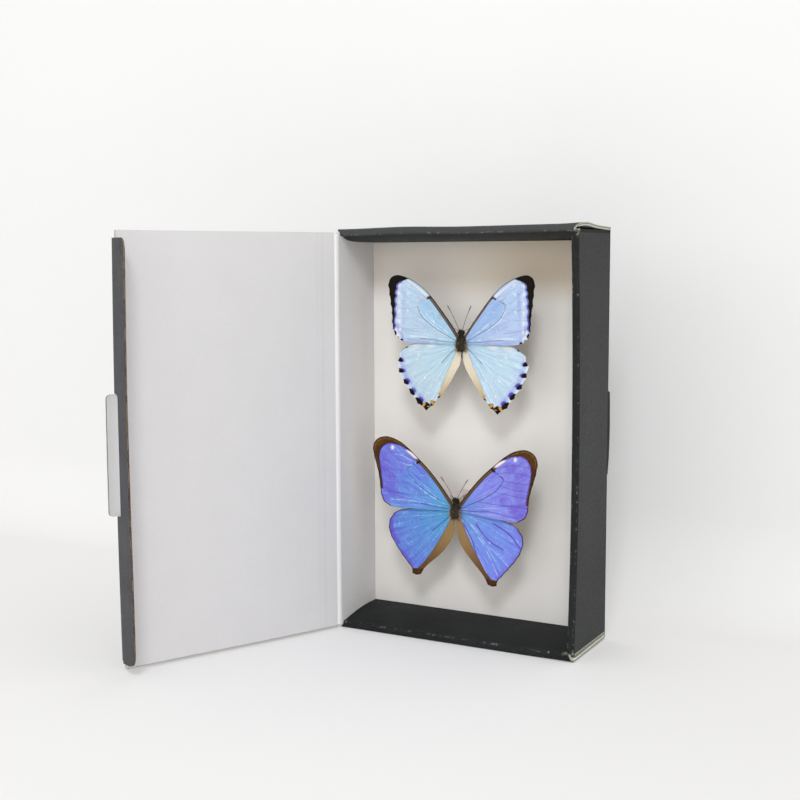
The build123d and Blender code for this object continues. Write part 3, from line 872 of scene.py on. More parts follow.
UPPER_GROUND = pts(
    "28.5 34.5, 29.7 33.5, 32 32.7, 34.9 31.7, 36.9 30.4, 37.5 29.2, 37 28, 38 26.7, 38.2 25.6,"
    "37.5 24.2, 38.5 22.4, 38.5 21, 37.9 19.4, 38.7 17.4, 38.5 15.8, 38.1 14.2, 38.7 12,"
    "38.9 10.2, 38.3 8.4, 39.2 6.9, 43 6, 44 38, 30 38")
# Rows of the ridge mark are painted highlights along the folds and veins.
UPPER_FORE = """
dark spots 1: 38.5 4.6 1 1.3 -30, 36.7 2 .7 .8 -30, 34.2 .9 .9 .6 20
dark line 1 .5: 16.9 24.4, 18.2 23.6, 19.6 22.8
pale spots .8: 30 30.1 .62
pale spots .9: 30.8 25.4 .62
pale spots .35: 30.6 21.2 .62
pale spots .75: 35.4 30 .8 1.5, 35.8 25.7 .8 1.5, 35.7 21.1 .8 1.5, 35.7 16.1 .8 1.5
pale spots .75: 35.7 10.8 .8 1.5, 35.4 6.4 .8 1.5, 30.9 16.5 .62
pale spots .6: 36.4 3.4 2 .6 35, 37.4 6.2 .9 1.4
pale spots .5: 37.3 11.2 .6 1.2
pale spots .4: 37.3 17.4 .5 1.2
pale area .75 .25: 18.7 24.3, 20.1 23.6, 24.5 27.4, 28.8 30.6, 32.2 32.3, 30.6 32.6, 26.6 30.2,
    22.4 27.2
vein line 1|0 .17: 25.1 18.5, 22.6 13.4, 17 8.8, 9 4.2, 3 1
vein line 0|1 .17: 22 22, 24.2 20.8, 25.1 18.5, 22.6 13.4, 17 8.8, 9 4.2, 3 1
vein line .4 .17: 19.4 22.7, 22 22, 24.2 20.8, 25.1 18.5
vein line .26 .15: 19.4 22.7, 24 25, 31 28.4, 37 30 / 22 22, 30 25, 38 26.6 / 24.6 20.2, 31 21.4,
    38.4 22
vein line .26 .15: 25.1 18.5, 31 17.6, 38.4 17.4 / 22.4 13.4, 30 12.4, 38.6 12.4 / 15.8 7.9,
    28 7, 39 7.6
vein line .8 .17: 1.2 .5, 9 .5, 17 1.5, 24 2
vein line .3 .17: 17 1.5, 34.5 1.6
vein line .7 .16: 19.6 22.9, 24.2 27.3, 28.4 30.6, 32.4 32.5
ridge line 1|0 .2: 24.3 17.2, 22.7 14.6, 19.6 11.9, 16.6 9.3, 12.4 6.4, 8.1 4
ridge line 1|0 .2: 17.6 13, 14.5 9.9, 10.7 7.3, 7.5 4.8 / 20.5 15.5, 18.4 12.6, 14 8.9
ridge line 0|1 .2: 13.6 5.9, 18.3 8.9, 22.7 12.7, 25.2 16.6 / 6 3.4, 11 6.6, 15.4 9.8
ridge line .45 .5: 6 1.3, 18 2.5, 30 3
deep area 1 1: 2 2.5, 9 12, 17.5 22.5, 24 20.6, 24.8 18.6, 22.2 13.6, 15.6 8.1, 5 2.6
halo near .55 2.2: 36.6 8.6, 34.4 2.4
halo near .3 1.6: 14 .2, 33 .6
halo near .2 1.6: 32.5 28, 33.2 20, 33.4 10
smudge spots .4|0: 12.7 13.4 1.5 1.1
"""
UPPER_HIND = """
dark spots 1: 37 -9.5 1.15 2.2 -62, 36.1 -15.6 1.1 2 -74, 33.2 -21.6 1.1 2.1 -62,
    29.3 -26.8 1.2 1.9 -50
dark spots 1: 25 -31.9 1.5 1.9 -52, 20.6 -35.2 2.6 1.2 0, 16.4 -33 2 .9 40
dark spots .9: 13.2 -28.9 .6 2.2 40, 32 -2.9 .9 .5 -40
orange spots 1: 22.2 -33.4 1.5 .5 -48, 16.9 -32.1 2 .42 40
orange spots .9: 19.6 -34.2 .9 .35 0, 12.9 -27.6 1.4 .4 62
fold area 1 .3: 1 -.8, 3.3 -4.6, 6.2 -11.2, 9.2 -17.2, 11.9 -23.4, 14 -29.4, 10 -31, -2 -12, -2 -1
ring rings 1: 24.9 -6.9 2.1, 21.4 -19 3.4, 19.4 -27 1.5
pale spots .9: 25.2 -6.9 .55, 21.4 -19 .6
pale spots .8: 19.4 -27 .5
pale spots .7: 18 -1.9 2.6 .4 -4
pale spots .45: 26.5 -2.6 2.6 .5 -14
vein line .22 .16: 1.6 -1.6, 14 -1.6, 31.5 -3.2 / 1.6 -1.6, 15 -5.4, 37 -9.6 / 1.6 -1.6, 16 -9.4,
    36 -15.6
vein line .22 .16: 1.6 -1.6, 15.4 -12.6, 33 -21.5 / 1.6 -1.6, 12.2 -12.4, 29.2 -26.4 / 1.6 -1.6,
    9.4 -13.6, 25 -31.2
vein line .9 .2: 2.6 -2.4, 7.2 -6, 11.6 -10.6
vein line .5 .2: 3.4 -4.6, 6.4 -11.2, 12.2 -23.6
ridge line .6 .25: 3.4 -2.2, 14 -5.8, 27 -9.5 / 4.4 -4.6, 11 -14, 17.5 -27 / 4.4 -3.4, 16 -13.4,
    26.5 -24
ridge line .6 .25: 9 -14, 13 -21.5, 17 -30 / 12 -16.5, 19 -24, 22.5 -30 / 8 -2.4, 17 -4.4, 30 -5.6
halo spots .95: 35.65 -9.8 1.3 1.6 -62, 34.6 -15.45 1.3 1.6 -74, 31.85 -20.85 1.3 1.6 -62
halo spots .95: 28.1 -25.75 1.3 1.6 -50, 23.8 -30.55 1.3 1.6 -52
halo near .35 2.4: 36 -8, 33.4 -17, 27.6 -25.4, 22 -31.4
"""
LOWER_GROUND = pts(
    "21 25.9, 26.2 29.6, 32 32.4, 37 33.3, 40.6 32.6, 43 30.4, 44.1 27.6, 44.3 24, 43.6 19.6,"
    "42.9 15.4, 42.3 11.6, 42 8.4, 45 7, 50 25, 50 38, 38 40, 20 30")
LOWER_FORE = """
dark line .8 .8: 18.6 25.4, 20.6 24.8, 22.6 23.6
cream area 1 .22: 22.2 25.9, 23.8 25.7, 26.6 27.8, 29.2 29.8, 28.2 30.2, 24.8 28.5
pale spots 1|0: 36.8 30.9 .72 1.7 8
pale spots 0|1: 34.6 31.1 .72 1.7 8
vein line .75|0 .2: 23.6 13.4, 16 8.2, 8 4, 3 1.3
vein line 0|1 .2: 21.2 23.4, 25.6 21.8, 27.8 19.2, 23.6 13.4, 16 8.2, 8 4, 3 1.3
vein line .5 .2: 21.2 23.4, 25.6 21.8, 27.8 19.2, 23.6 13.4
vein line .3|.62 .18: 21.4 23.4, 26.4 26.1, 34 28, 43 27.8 / 24 22.8, 33 24, 44 23.6 / 27.7 19.3,
    35 19, 43.2 19.3
vein line .3|.62 .18: 26.4 16.6, 34 15.2, 43 15.4 / 23.3 12.9, 30.4 12.3, 42.8 11.8 / 12.9 6.4,
    24 6.3, 42.6 6.8
vein line .85 .22: 1.2 .4, 12 1, 20 2
vein line .3|.6 .2: 20 2, 37.5 .6
ridge line 1|0 .26: 24.9 14.6, 21.5 11, 16.6 7.6, 9.8 4.4, 5 2.5
ridge line .7|0 .26: 35.3 27.7, 30.5 26.8, 25.8 24.6, 23.1 22.9
ridge line .6|0 .26: 34.5 23.8, 28.4 22.2, 25.1 22.1 / 37 2.6, 28 2.9, 19.9 2.6, 7.2 1.4
ridge line .55|0 .26: 19 12.4, 14 8.2, 10.4 5.6
ridge line 0|.5 .26: 3.4 .8, 12 2.6, 24 4.2, 34 4.4
ridge line 0|.6 .26: 4 .2, 16 .2, 26 .6
ridge line 0|.3 .26: 14 13.4, 20.6 20.4 / 13.5 5.5, 19 8.6, 24 12
halo spots .5|0: 38.4 15.2 3.6 .75 4, 37.6 10.1 3.6 .75 4, 36 7 3.6 .75 4, 41.8 18.8 3.6 .75 4
halo spots .5|0: 42.6 24.5 3.6 .75 4, 40.6 27.3 3.6 .75 4, 34.1 4.7 3.6 .75 4, 31 12.4 3.6 .75 4
halo spots 0|.5: 38.3 23.3 3.6 .75 4, 37.1 17 3.6 .75 4, 38 12.2 3.6 .75 4, 40.2 7.1 3.6 .75 4
halo spots 0|.5: 38.3 1.9 3.6 .75 4, 34.7 5.1 3.6 .75 4, 29 9 3.6 .75 4, 32 27 3.6 .75 4
halo line .6|.3 .4: 28.4 19.6, 24.6 17.7, 20.9 14.8
"""
LOWER_HIND = """
border area 1 .35: 27.6 -33.4, 24.6 -34.4, 21.6 -34.2, 18.6 -34, 16 -40, 28 -40
fold area 1 .28: .8 -.8, 3 -4.9, 7.3 -13.2, 12.3 -22, 17.7 -29.8, 21.6 -34.2, 18.5 -37, 2 -24,
    -3 -12, -2 -1
vein line .22 .18: 1.6 -1.6, 14 -1.9, 33.4 -3.6 / 1.6 -1.6, 15 -5.4, 38.8 -11 / 1.6 -1.6,
    16 -9.4, 37.6 -17.6
vein line .22 .18: 1.6 -1.6, 17 -13.6, 34.6 -23 / 1.6 -1.6, 13.2 -13.6, 31 -27.8 / 1.6 -1.6,
    10.4 -15.2, 27.4 -32
vein line .9|.5 .2: 2.6 -2.4, 8 -7.4, 13.6 -12.6
vein line .9 .22: 3 -4.9, 7.3 -13.2, 12.3 -22, 17.7 -29.8, 21.6 -34.2
ridge line .35|0 .24: 6 -2.6, 15 -4, 26 -6
ridge line .3|0 .24: 5 -6.4, 12 -17, 20 -29
ridge line .25|0 .24: 7 -7.2, 16 -17, 25 -28
ridge line 0|.9 .24: 7.1 -4.3, 15.8 -15.4, 20.2 -22.3, 25.3 -31.6
ridge line 0|.75 .24: 5 -2.9, 11.4 -8.4, 18.6 -16.9, 26.5 -27.7 / 9.4 -10, 16.5 -15.3,
    24.9 -20.4, 31.9 -26.2
ridge line 0|.7 .24: 3.6 -4.6, 8 -13, 13.4 -22.4, 19 -31
ridge line 0|.45 .24: 8 -2.6, 20 -6.6, 33 -12.4
ridge spots 0|.9: 20.1 -14.6 .6
halo line .6|0 1.6: 38.2 -9, 37.6 -15, 34 -21.6 / 31 -26.4, 26 -32.2
halo line 0|.75 .5: 4.4 -6.2, 9.5 -14.4, 12.5 -21.5, 16.9 -29.1 / 12 -5.8, 16.3 -10.9,
    21.3 -14.6, 28.2 -17.4
halo line 0|.75 .5: 22 -4.2, 31 -8.6, 37.8 -15
"""


def marks_of(name, pair, left, p, rim, costa):
    """All marks of a wing: the drawn ones, and those that follow its edges. rim and costa are
    the distances from its outer and front edges."""
    x, z = p.T
    size = np.hypot(x, z)
    thin = ease(1 - (rim - 0.25) / 0.4)
    if (name, pair) == ("upper", "fore"):
        m = drawn(UPPER_FORE, p, left)
        border = area_mask(p, UPPER_GROUND, 0.22)
        wide = 2.0 if left else 1.35
        m["band"] = ease((wide - costa) / 0.3) * ease((24.4 - z) / 0.8)
        m["gold"] = ease(1 - abs(costa - wide * 0.55) / 0.5) * m["band"]
        m["dark"] = most(m["dark"], border, ease(1 - (costa - 0.15) / 0.3))
        m["pale"] = most(m["pale"], 0.3 * ease(1 - abs(x - 35.4) / 1.8) * ease((30 - z) / 3))
        m["halo"] = most(m["halo"], near(p, UPPER_GROUND[3:20], 1.7)) * (1 - border)
    elif (name, pair) == ("upper", "hind"):
        m = drawn(UPPER_HIND, p, left)
        m["pale"] = most(m["pale"], 0.6 * ease(1 - (rim - 0.2) / 1.1))
        m["halo"] = 0.85 * m["halo"]
        m["band"] = 0.55 * ease(1 - (costa - 0.15) / 0.3)
        m["deep"] = ease((9 - size) / 9)
        m["gold"] = 0.8 * ease(1 - abs(costa - 0.7) / 0.7) * ease((28 - x) / 10)
    elif (name, pair) == ("lower", "fore"):
        m = drawn(LOWER_FORE, p, left)
        border = m["border"] = area_mask(p, LOWER_GROUND, 0.25)
        m["band"] = ease((2.15 - costa) / 0.3) * ease((26.8 - z) / 0.8)
        m["gold"] = ease(1 - abs(costa - 1.1) / 0.7) * most(m["band"], border)
        m["dark"] = most(m["dark"], ease(1 - (costa - 0.15) / 0.35), thin,
                         0.85 * near(p, LOWER_GROUND[:12], 0.3))
        m["halo"] = most(m["halo"], 0.8 * near(p, LOWER_GROUND[:12], 1.5),
                         0.3 * ease((4 - rim) / 4)) * (1 - border)
        m["deep"] = ease((17 - size) / 15)
    else:
        m = drawn(LOWER_HIND, p, left)
        m["dark"] = 0.9 * thin
        m["halo"] = most(m["halo"], 0.45 * ease((3.4 - rim) / 3.4))
        m["band"] = 0.8 * ease(1 - (costa - 0.3) / 0.4)
        m["deep"] = ease((18 - size) / 16)
    return m


# ridge marks painted highlights along the wings' folds and veins.
MARKS = ("dark", "border", "band", "pale", "cream", "vein", "ridge", "halo", "deep", "fold",
         "orange", "ring", "smudge", "gold")


def wing_look(name, c):
    """Scaled wing: streaks along the veins, powdery scales and the marks of the pattern, with
    painted highlights (the ridge mark) and painted sheen streaks.
    """
    made, t, at = material(name)
    polar = t.uv()
    broad = t.streaks(polar, (75, 62, 1), 4, 0.6, 0.6)
    thin = t.streaks(polar, (110, 260, 1), 3, 0.6, 0.3)
    wrinkle = t.streaks(polar, (640, 20, 1), 3, 0.6, 1.4)
    hairy = t.streaks(polar, (60, 500, 1))
    patches = t.noise(at, 120, 4, 0.62, 0.7)
    scales = t.noise(at, 3400, 3, 0.7)
    out = t.plus(t.value("tone"), t.times(t.minus(patches, 0.5), 0.9))
    # Painted highlight: light lines along the ridge mark, and the wrinkle streaks lightened with
    # the same tone as painted sheen.
    painted_highlight_lines = t.times(t.value("ridge"), t.band(t.noise(at, 420), 0.36, 0.58))
    down = t.mix(t.band(t.plus(t.value("reach"), t.times(hairy, 0.4)), 0.45, 1.2),
                 c["fold_light"], c["fold_dark"])
    down = t.over(down, (t.band(hairy, 0.35, 0.7), 0.6, c["fold_mid"]))
    ragged = t.times(t.minus(t.noise(at, 1700), 0.5), 0.5)
    brown = t.mix(t.band(patches, 0.4, 0.65), c["border"], c["border_light"])
    golden = t.times(t.value("gold"), t.band(thin, 0.35, 0.62))
    colour = t.over(
        c["root"], (t.band(out, 0.0, 0.55), c["middle"]), (t.band(out, 0.5, 1.0), c["outer"]),
        (t.value("deep"), 0.7, c["deep"]), (t.band(broad, 0.5, 0.32), 0.55, c["streak_low"]),
        (t.band(broad, 0.52, 0.7), 0.6, c["streak_high"]),
        (t.band(thin, 0.5, 0.68), 0.3, c["streak_high"]),
        (t.band(thin, 0.46, 0.32), 0.3, c["streak_low"]),
        (t.band(wrinkle, 0.55, 0.7), 0.25, c["ridge"]), (t.value("ring"), 0.3, rgb("a9bccb")),
        (t.value("halo"), t.band(patches, 0.3, 0.62, 0.35, 1.15), c["halo"]),
        (painted_highlight_lines, 0.9, c["ridge"]), (t.value("vein"), 0.85, c["vein"]),
        (t.value("smudge"), rgb("9aa794")), (t.value("pale"), c["pale"]),
        (t.band(t.value("halo"), 0.48, 0.86), 0.85, c["halo_deep"]), (t.value("fold"), down),
        (t.band(t.plus(t.value("border"), ragged), 0.38, 0.62), brown),
        (t.value("band"), 0.97, c["band"]), (golden, 0.75, c["gold"]),
        (t.value("cream"), rgb("efe6dc")),
        (t.band(t.plus(t.value("dark"), ragged), 0.3, 0.62), c["dark"]),
        (t.band(t.value("orange"), 0.35, 0.7), rgb("c8923f")))
    glint = t.times(t.minus(scales, 0.5), 0.7)
    colour = t.put("HueSaturation", {"Value": t.plus(1.0, glint), "Color": colour})
    raised = t.minus(t.times(painted_highlight_lines, 0.4), t.value("vein"))
    normal = t.bump(t.plus(raised, t.times(thin, 0.9)), 0.4, 0.0003)
    normal = t.bump(t.plus(broad, t.times(wrinkle, 0.5)), 0.5, 0.0009, normal)
    normal = t.bump(scales, 0.2, 0.00006, normal)
    t.finish(colour, t.band(scales, 0.3, 0.7, 0.5, 0.7), normal, 0.12)
    return made


def underside_look():
    made, t, at = material("wing_underside")
    streaks = t.streaks(t.uv(), (14, 300, 1), 4)
    scales = t.noise(at, 4200, 3, 0.7)
    colour = t.mix(t.band(t.noise(at, 90, 4), 0.35, 0.65), rgb("7d6b52"), rgb("b3a283"))
    colour = t.over(colour, (t.band(streaks, 0.4, 0.7), 0.5, rgb("55452f")),
                    (t.value("vein"), 0.8, rgb("3d2f1e")), (t.value("ring"), 0.8, rgb("e2d7b0")))
    t.finish(colour, t.band(scales, 0.3, 0.7, 0.6, 0.78), t.bump(scales, 0.25, 0.00008), 0.25)
    return made


def tones(text, base=()):
    """Named tones, over those of a base."""
    words = text.split()
    return {**dict(base), **dict(zip(words[::2], map(rgb, words[1::2])))}


# ridge is the tone of the painted highlights.
PALE = tones("""
    root a9d6ec middle b9cfe4 outer b6d2ea deep 98c8ea streak_low 9fb6dc streak_high d3e2f0
    halo 6e62d6 halo_deep 44369e ridge eef7fa vein 40506c pale efebf2 fold_light f0e9d8
    fold_mid cdb98c fold_dark a5823c border 1d120a border_light 2a1c10 band 4a362c dark 120b07
    gold a08468""")
VIOLET = tones("""
    root 58a8da middle 6a90de outer 7676da deep 4fa8d4 streak_low 585cd0 streak_high 7fb2ec
    halo 6a4fcc halo_deep 55389e ridge c4e6fb vein 2c2a6a pale f6f2f6 fold_light a2855a
    fold_mid 7d5f3a fold_dark 5a3814 border 44290c border_light 5a3a14 band 4e3718 dark 1e1209
    gold 8a6a3c""")
UNDERSIDE = underside_look()
# The right wings' tones differ from the left ones' as painted light: the sheen of the wings changes
# with the angle at which they are seen.
WING_LOOKS = {key: wing_look(look, tones(changes, base)) for key, look, base, changes in (
    (("upper", "fore", True), "pale_wing_left", PALE, ""),
    (("upper", "fore", False), "pale_wing_right", PALE, """
        root 9dbde6 middle b4c8ea outer b0cbea deep 8fb6e6 streak_low 94a4de
        streak_high cddcf2"""),
    (("upper", "hind", True), "pale_hindwing_left", PALE, """
        root abd6ea middle bcd8e6 outer bccfe4 deep a2d2ea streak_low a9c2da
        streak_high d8e8f0"""),
    (("upper", "hind", False), "pale_hindwing_right", PALE, """
        root a9cdea middle bedbec outer c2d6ec deep 9cc4ec streak_low a4bae2
        streak_high dcf0f6"""),
    (("lower", "fore", True), "violet_wing_left", VIOLET, ""),
    (("lower", "fore", False), "violet_wing_right", VIOLET, """
        root 6e90e0 middle 8890ea outer 8482dc deep 668fdc streak_low 6a62d4
        streak_high 9cacf4 ridge b8ccfa vein 2e2276 halo 6a48c8"""),
    (("lower", "hind", True), "violet_hindwing_left", VIOLET, """
        root 4fa6d4 middle 5f92d8 outer 6a78d8"""),
    (("lower", "hind", False), "violet_hindwing_right", VIOLET, """
        root 6ea0e4 middle 7492e8 outer 7f88ea deep 72a6e6 streak_low 6a6ade
        streak_high 8cb4f6 ridge c2dcfc"""))}


def specimen_place(s):
    cx, cz = s["centre"]
    c, n = math.cos(math.radians(s["roll"])), math.sin(math.radians(s["roll"]))

    def place(p):
        p = np.asarray(p, float)
        return np.stack([cx + p[..., 0] * c + p[..., 2] * n, WING_PLANE + p[..., 1],
                         cz - p[..., 0] * n + p[..., 2] * c], -1)
    return place


ROUNDS = 84                                   # rings of points from a wing's root to its rim
COARSE = [0, 10, 24, 38, 52, 64, 75, ROUNDS - 1]     # those that the underside has
UV_REACH = 0.04


def wing(s, pair, left):
    angle, radius, bow, *lines = s[pair]
    front, outer, back = (pts(line) for line in lines)
    costa = smooth_line(front, 14)
    margin = scallops([front[-1], *outer], bow)
    inner = smooth_line([outer[-1], *back], 12)
    line = np.concatenate([respace(costa, 72), respace(margin, 130)[1:], respace(inner, 44)[1:]])
    root = np.array([1.0, 0.9 if pair == "fore" else -0.9])
    rays = len(line)
    reach = 1 - (1 - np.linspace(0, 1, ROUNDS)) ** 1.25
    p = (root + reach[None, :, None] * (line[:, None] - root)).reshape(-1, 2)
    marks = marks_of(s["name"], pair, left, p, distance(p, margin), distance(p, costa))
    values = {key: marks.get(key, np.zeros(len(p))) for key in MARKS}
    size = np.linalg.norm(p, axis=1)
    values["tone"] = np.clip(size / 46, 0, 1)
    values["reach"] = np.clip(size / 40, 0, 1)
    x, z = p[:, 0], p[:, 1]
    y = (0.0 if pair == "fore" else 0.35) - np.abs(x) * math.tan(math.radians(angle)) \
        - x * x / (2 * radius)
    share = np.tile(reach, rays)
    turn = np.arctan2(z - root[1], x - root[0])
    relief = 0.16 * np.sin(turn * 19) * share ** 2 - 0.10 * values["vein"]

    def thinned(field):
        """The underside's share of a field of the upper side, with both after one another."""
        rest = field.reshape(rays, ROUNDS, -1)[:, COARSE]
        return np.concatenate([field, rest.reshape(-1, *field.shape[1:])])

    top = np.stack([x, y + relief * ease(share * 3), z], 1)
    points = thinned(top)
    points[len(top):, 1] += np.tile(0.14 * (1 - (np.array(COARSE) / (ROUNDS - 1)) ** 8), rays)
    grid = np.arange(len(top)).reshape(rays, ROUNDS)
    below = len(top) + np.arange(rays * len(COARSE)).reshape(rays, -1)
    faces, which = [], []
    for a, b, c, d in zip(grid, grid[1:], below, below[1:]):
        faces += np.stack([a[:-1], b[:-1], b[1:], a[1:]], 1).tolist()
        faces += np.stack([c[:-1], c[1:], d[1:], d[:-1]], 1).tolist()
        faces.append([int(a[-1]), int(b[-1]), int(d[-1]), int(c[-1])])
        which += [0] * (ROUNDS - 1) + [1] * (len(COARSE) - 1) + [0]
    uvs = thinned(np.stack([share * UV_REACH, turn / math.pi], 1))[np.concatenate(faces)]
    values = {key: thinned(field) for key, field in values.items()}
    if left:
        points = points * np.array([-1, 1, 1])
    name = f"{s['name']}_{pair}wing_{'left' if left else 'right'}"
    made = make(name + "_scaled", specimen_place(s)(points), faces,
                [WING_LOOKS[(s["name"], pair, left)], UNDERSIDE], which=which, uvs=uvs,
                values=values, sharp=70, tidy=False, body=s["name"] + "_specimen",
                slot=s["slot"])
    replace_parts(made, name)


# ------------------------------------------------------------------ bodies
def hair_look(name, *shades):
    made, t, at = material(name)
    dark, light, tip = map(rgb, shades)
    fine = t.noise(at, 5200, 3, 0.7)
    colour = t.over(dark, (t.band(t.noise(at, 900), 0.4, 0.66), light),
                    (t.value("tip"), t.band(fine, 0.35, 0.7), tip))
    t.finish(colour, t.band(fine, 0.3, 0.7, 0.42, 0.62), t.bump(fine, 0.4, 0.0001), 0.2)
    return made


dark_hair = hair_look("body_hair", "0f0c08", "4a3f28", "a8946a")
grey_shell = hair_look("body_shell", "0c0a08", "1e1a14", "4a4338")
tan_hair = hair_look("root_hair", "8f7b5c", "b8a688", "d9ccb0")
antenna_look = hair_look("antenna_brown", "4a443c", "6b6459", "8c857a")


def unit(vector):
    return vector / np.linalg.norm(vector)


def tube(path, radii, sides=8):
    """Points and faces of a round tube along a path, closed at both ends."""
    path, points, faces = np.asarray(path, float), [], []
    for i, centre in enumerate(path):
        ahead = unit(path[min(i + 1, len(path) - 1)] - path[max(i - 1, 0)])
        side = unit(np.cross(ahead, [0, 1, 0.02]))
        up = np.cross(side, ahead)
        for k in range(sides):
            a = 2 * math.pi * k / sides
            points.append(centre + radii[i] * (side * math.cos(a) + up * math.sin(a)))
    for i in range(0, len(points) - sides, sides):
        for k in range(sides):
            n = (k + 1) % sides
            faces.append([i + k, i + n, i + sides + n, i + sides + k])
    faces.append(list(range(sides))[::-1])
    faces.append([len(points) - sides + k for k in range(sides)])
    return points, faces


HAIR_TIPS = [0.0] * 3 + [0.4] * 3 + [1.0]     # how near each point of a hair is to its tip


def hair(root, direction, length, width, rng):
    """One thin bent hair with three sides."""
    direction = unit(direction)
    side = unit(np.cross(direction, [0.31, 0.17, 0.93]))
    other = np.cross(direction, side)
    bend = (side * rng.uniform(-1, 1) + other * rng.uniform(-1, 1)) * length * 0.22
    middle = root + direction * length * 0.55 + bend * 0.5
    tip = root + direction * length + bend * 1.4
    ring = [side * math.cos(a) + other * math.sin(a) for a in (0.3, 2.4, 4.5)]
    points = [root + way * width for way in ring]
    points += [middle + way * width * 0.7 for way in ring] + [tip]
    faces = [[0, 1, 4, 3], [1, 2, 5, 4], [2, 0, 3, 5], [3, 4, 6], [4, 5, 6], [5, 3, 6]]
    return points, faces


def shell_point(rng):
    """A place on the thorax or the head and the way out of it, in the specimen's frame."""
    if rng.random() < 0.72:
        z = rng.uniform(-4.3, 4.4)
        r = 2.75 * math.sqrt(max(1 - (z / 5.2) ** 2, 0.05)) * (0.96 if z < 1 else 0.9)
        a = rng.uniform(0, 2 * math.pi)
        return (np.array([r * math.cos(a), r * math.sin(a), z]),
                np.array([math.cos(a), math.sin(a), z / 9]))
    a, b = rng.uniform(0, 2 * math.pi), rng.uniform(-0.8, 1.3)
    out = np.array([math.cos(a) * math.cos(b), math.sin(a) * math.cos(b), math.sin(b)])
    return np.array([0, -0.34, 5.4]) + 1.45 * out, out


def insect_part(s, suffix, parts, look, tips, replaced=None, **how):
    """A mesh of a specimen, joined from parts. tips gives the share of the tip's colour, which on
    the thorax's shell is a painted highlight.
    """
    points, faces = [], []
    for some, more in parts:
        faces += [[i + len(points) for i in face] for face in more]
        points += [tuple(p) for p in some]
    made = make(f"{s['name']}_{suffix}", specimen_place(s)(points), faces, [look],
                body=s["name"] + "_specimen", slot="insect", values={"tip": tips(points)}, **how)
    if replaced:
        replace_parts(made, f"{s['name']}_{replaced}")


def hairs(s, suffix, strands, look):
    insect_part(s, suffix, strands, look, lambda points: HAIR_TIPS * len(strands), tidy=False,
                sharp=80)


BODY_RINGS = [(-4.5, 0.7), (-4.1, 1.5), (-3.3, 2.1), (-2.2, 2.5), (-1.0, 2.7), (0.2, 2.72),
              (1.4, 2.5), (2.6, 2.1), (3.5, 1.6), (4.1, 1.25), (4.6, 1.2), (5.2, 1.5),
              (5.8, 1.45), (6.3, 1.1), (6.7, 0.6)]     # height and radius
NECK = 4.2


def insect(s):
    rng = random.Random(s["seed"])
    path = [(0.0, -0.34 * float(ease((z - 3) / 2)), z) for z, _ in BODY_RINGS]
    parts = [tube(path, [r for _, r in BODY_RINGS], 20)]
    for out in (-1, 1):
        eye = [(out * d, -0.5, 5.35) for d in (0.9, 1.3, 1.7, 1.98, 2.12)]
        palp = [(out * 0.35, -1.5, 6.1), (out * 0.5, -1.9, 6.8), (out * 0.45, -2.0, 7.5)]
        parts += [tube(eye, [0.62, 0.84, 0.8, 0.55, 0.2], 12), tube(palp, [0.34, 0.30, 0.12])]
    # Painted highlight: the thorax's front takes the shell's lighter tip tone.
    insect_part(s, "thorax_and_head", parts, grey_shell,
                lambda points: [1.0 if p[1] < -1.2 and -3 < p[2] < 2 else 0.2 for p in points],
                "body", sharp=60)
    strands = []
    for _ in range(1500):
        root, out = shell_point(rng)
        swept = out * 0.8 + np.array([rng.uniform(-.3, .3), rng.uniform(-.3, .3), -0.75])
        if root[2] > NECK:
            swept = out + np.array([rng.uniform(-.3, .3), rng.uniform(-.3, .3), 0.25])
        length = rng.uniform(0.7, 1.7) if root[2] < NECK else rng.uniform(0.3, 0.8)
        if np.linalg.norm(root[:2]) >= 0.8:
            strands.append(hair(root * 0.97, swept, length, rng.uniform(0.05, 0.1), rng))
    hairs(s, "body_hair", strands, dark_hair)
    strands = []
    for out in [-1] * 90 + [1] * 90:
        z = rng.uniform(-4.4, 0.9)
        root = np.array([out * rng.uniform(1.7, 2.6), rng.uniform(-1.6, -0.4), z])
        way = np.array([out * rng.uniform(0.5, 1.4), rng.uniform(-0.35, 0.1),
                        rng.uniform(-0.9, 0.3)])
        strands.append(hair(root, way, rng.uniform(1.1, 2.6), 0.05, rng))
    hairs(s, "root_tufts", strands, tan_hair)
    feelers, legs = [], []
    for out in (-1, 1):
        tip = np.array(s["antenna_tip"]) * np.array([out, 1, 1])
        root = np.array([out * 0.68, -0.85, 5.9])
        share = np.linspace(0, 1, 22)
        line = root + (tip - root) * share[:, None]
        line[:, 0] -= out * 0.4 * np.sin(math.pi * share)
        thick = 0.13 + 0.015 * np.sin(share * 90) + 0.17 * ease((share - 0.68) / 0.25)
        feelers.append(tube(line, thick * (1 - 0.75 * ease((share - 0.94) / 0.06))))
        tip = np.array(s["leg_tip"]) * np.array([out, 1, 1])
        root = np.array([out * 0.85, -0.2, 5.3])
        knee = (root + tip) / 2 + np.array([0, 0, 0.4])
        path = smooth_line([root[[0, 2]], knee[[0, 2]], tip[[0, 2]]], 6)
        line = [(x, -0.2 + 0.2 * i / (len(path) - 1), z) for i, (x, z) in enumerate(path)]
        legs.append(tube(line, np.linspace(0.17, 0.07, len(line)), 7))
    insect_part(s, "antenna_pair", feelers, antenna_look, lambda points: [0.4] * len(points),
                "antennae", sharp=60)
    insect_part(s, "foreleg_pair", legs, antenna_look, lambda points: [0.6] * len(points),
                "forelegs", sharp=60)


for specimen in (UPPER, LOWER):
    for pair in ("fore", "hind"):
        for left in (True, False):
            wing(specimen, pair, left)
    insect(specimen)


# ------------------------------------------------------------------ stage and light
FAR = 3000


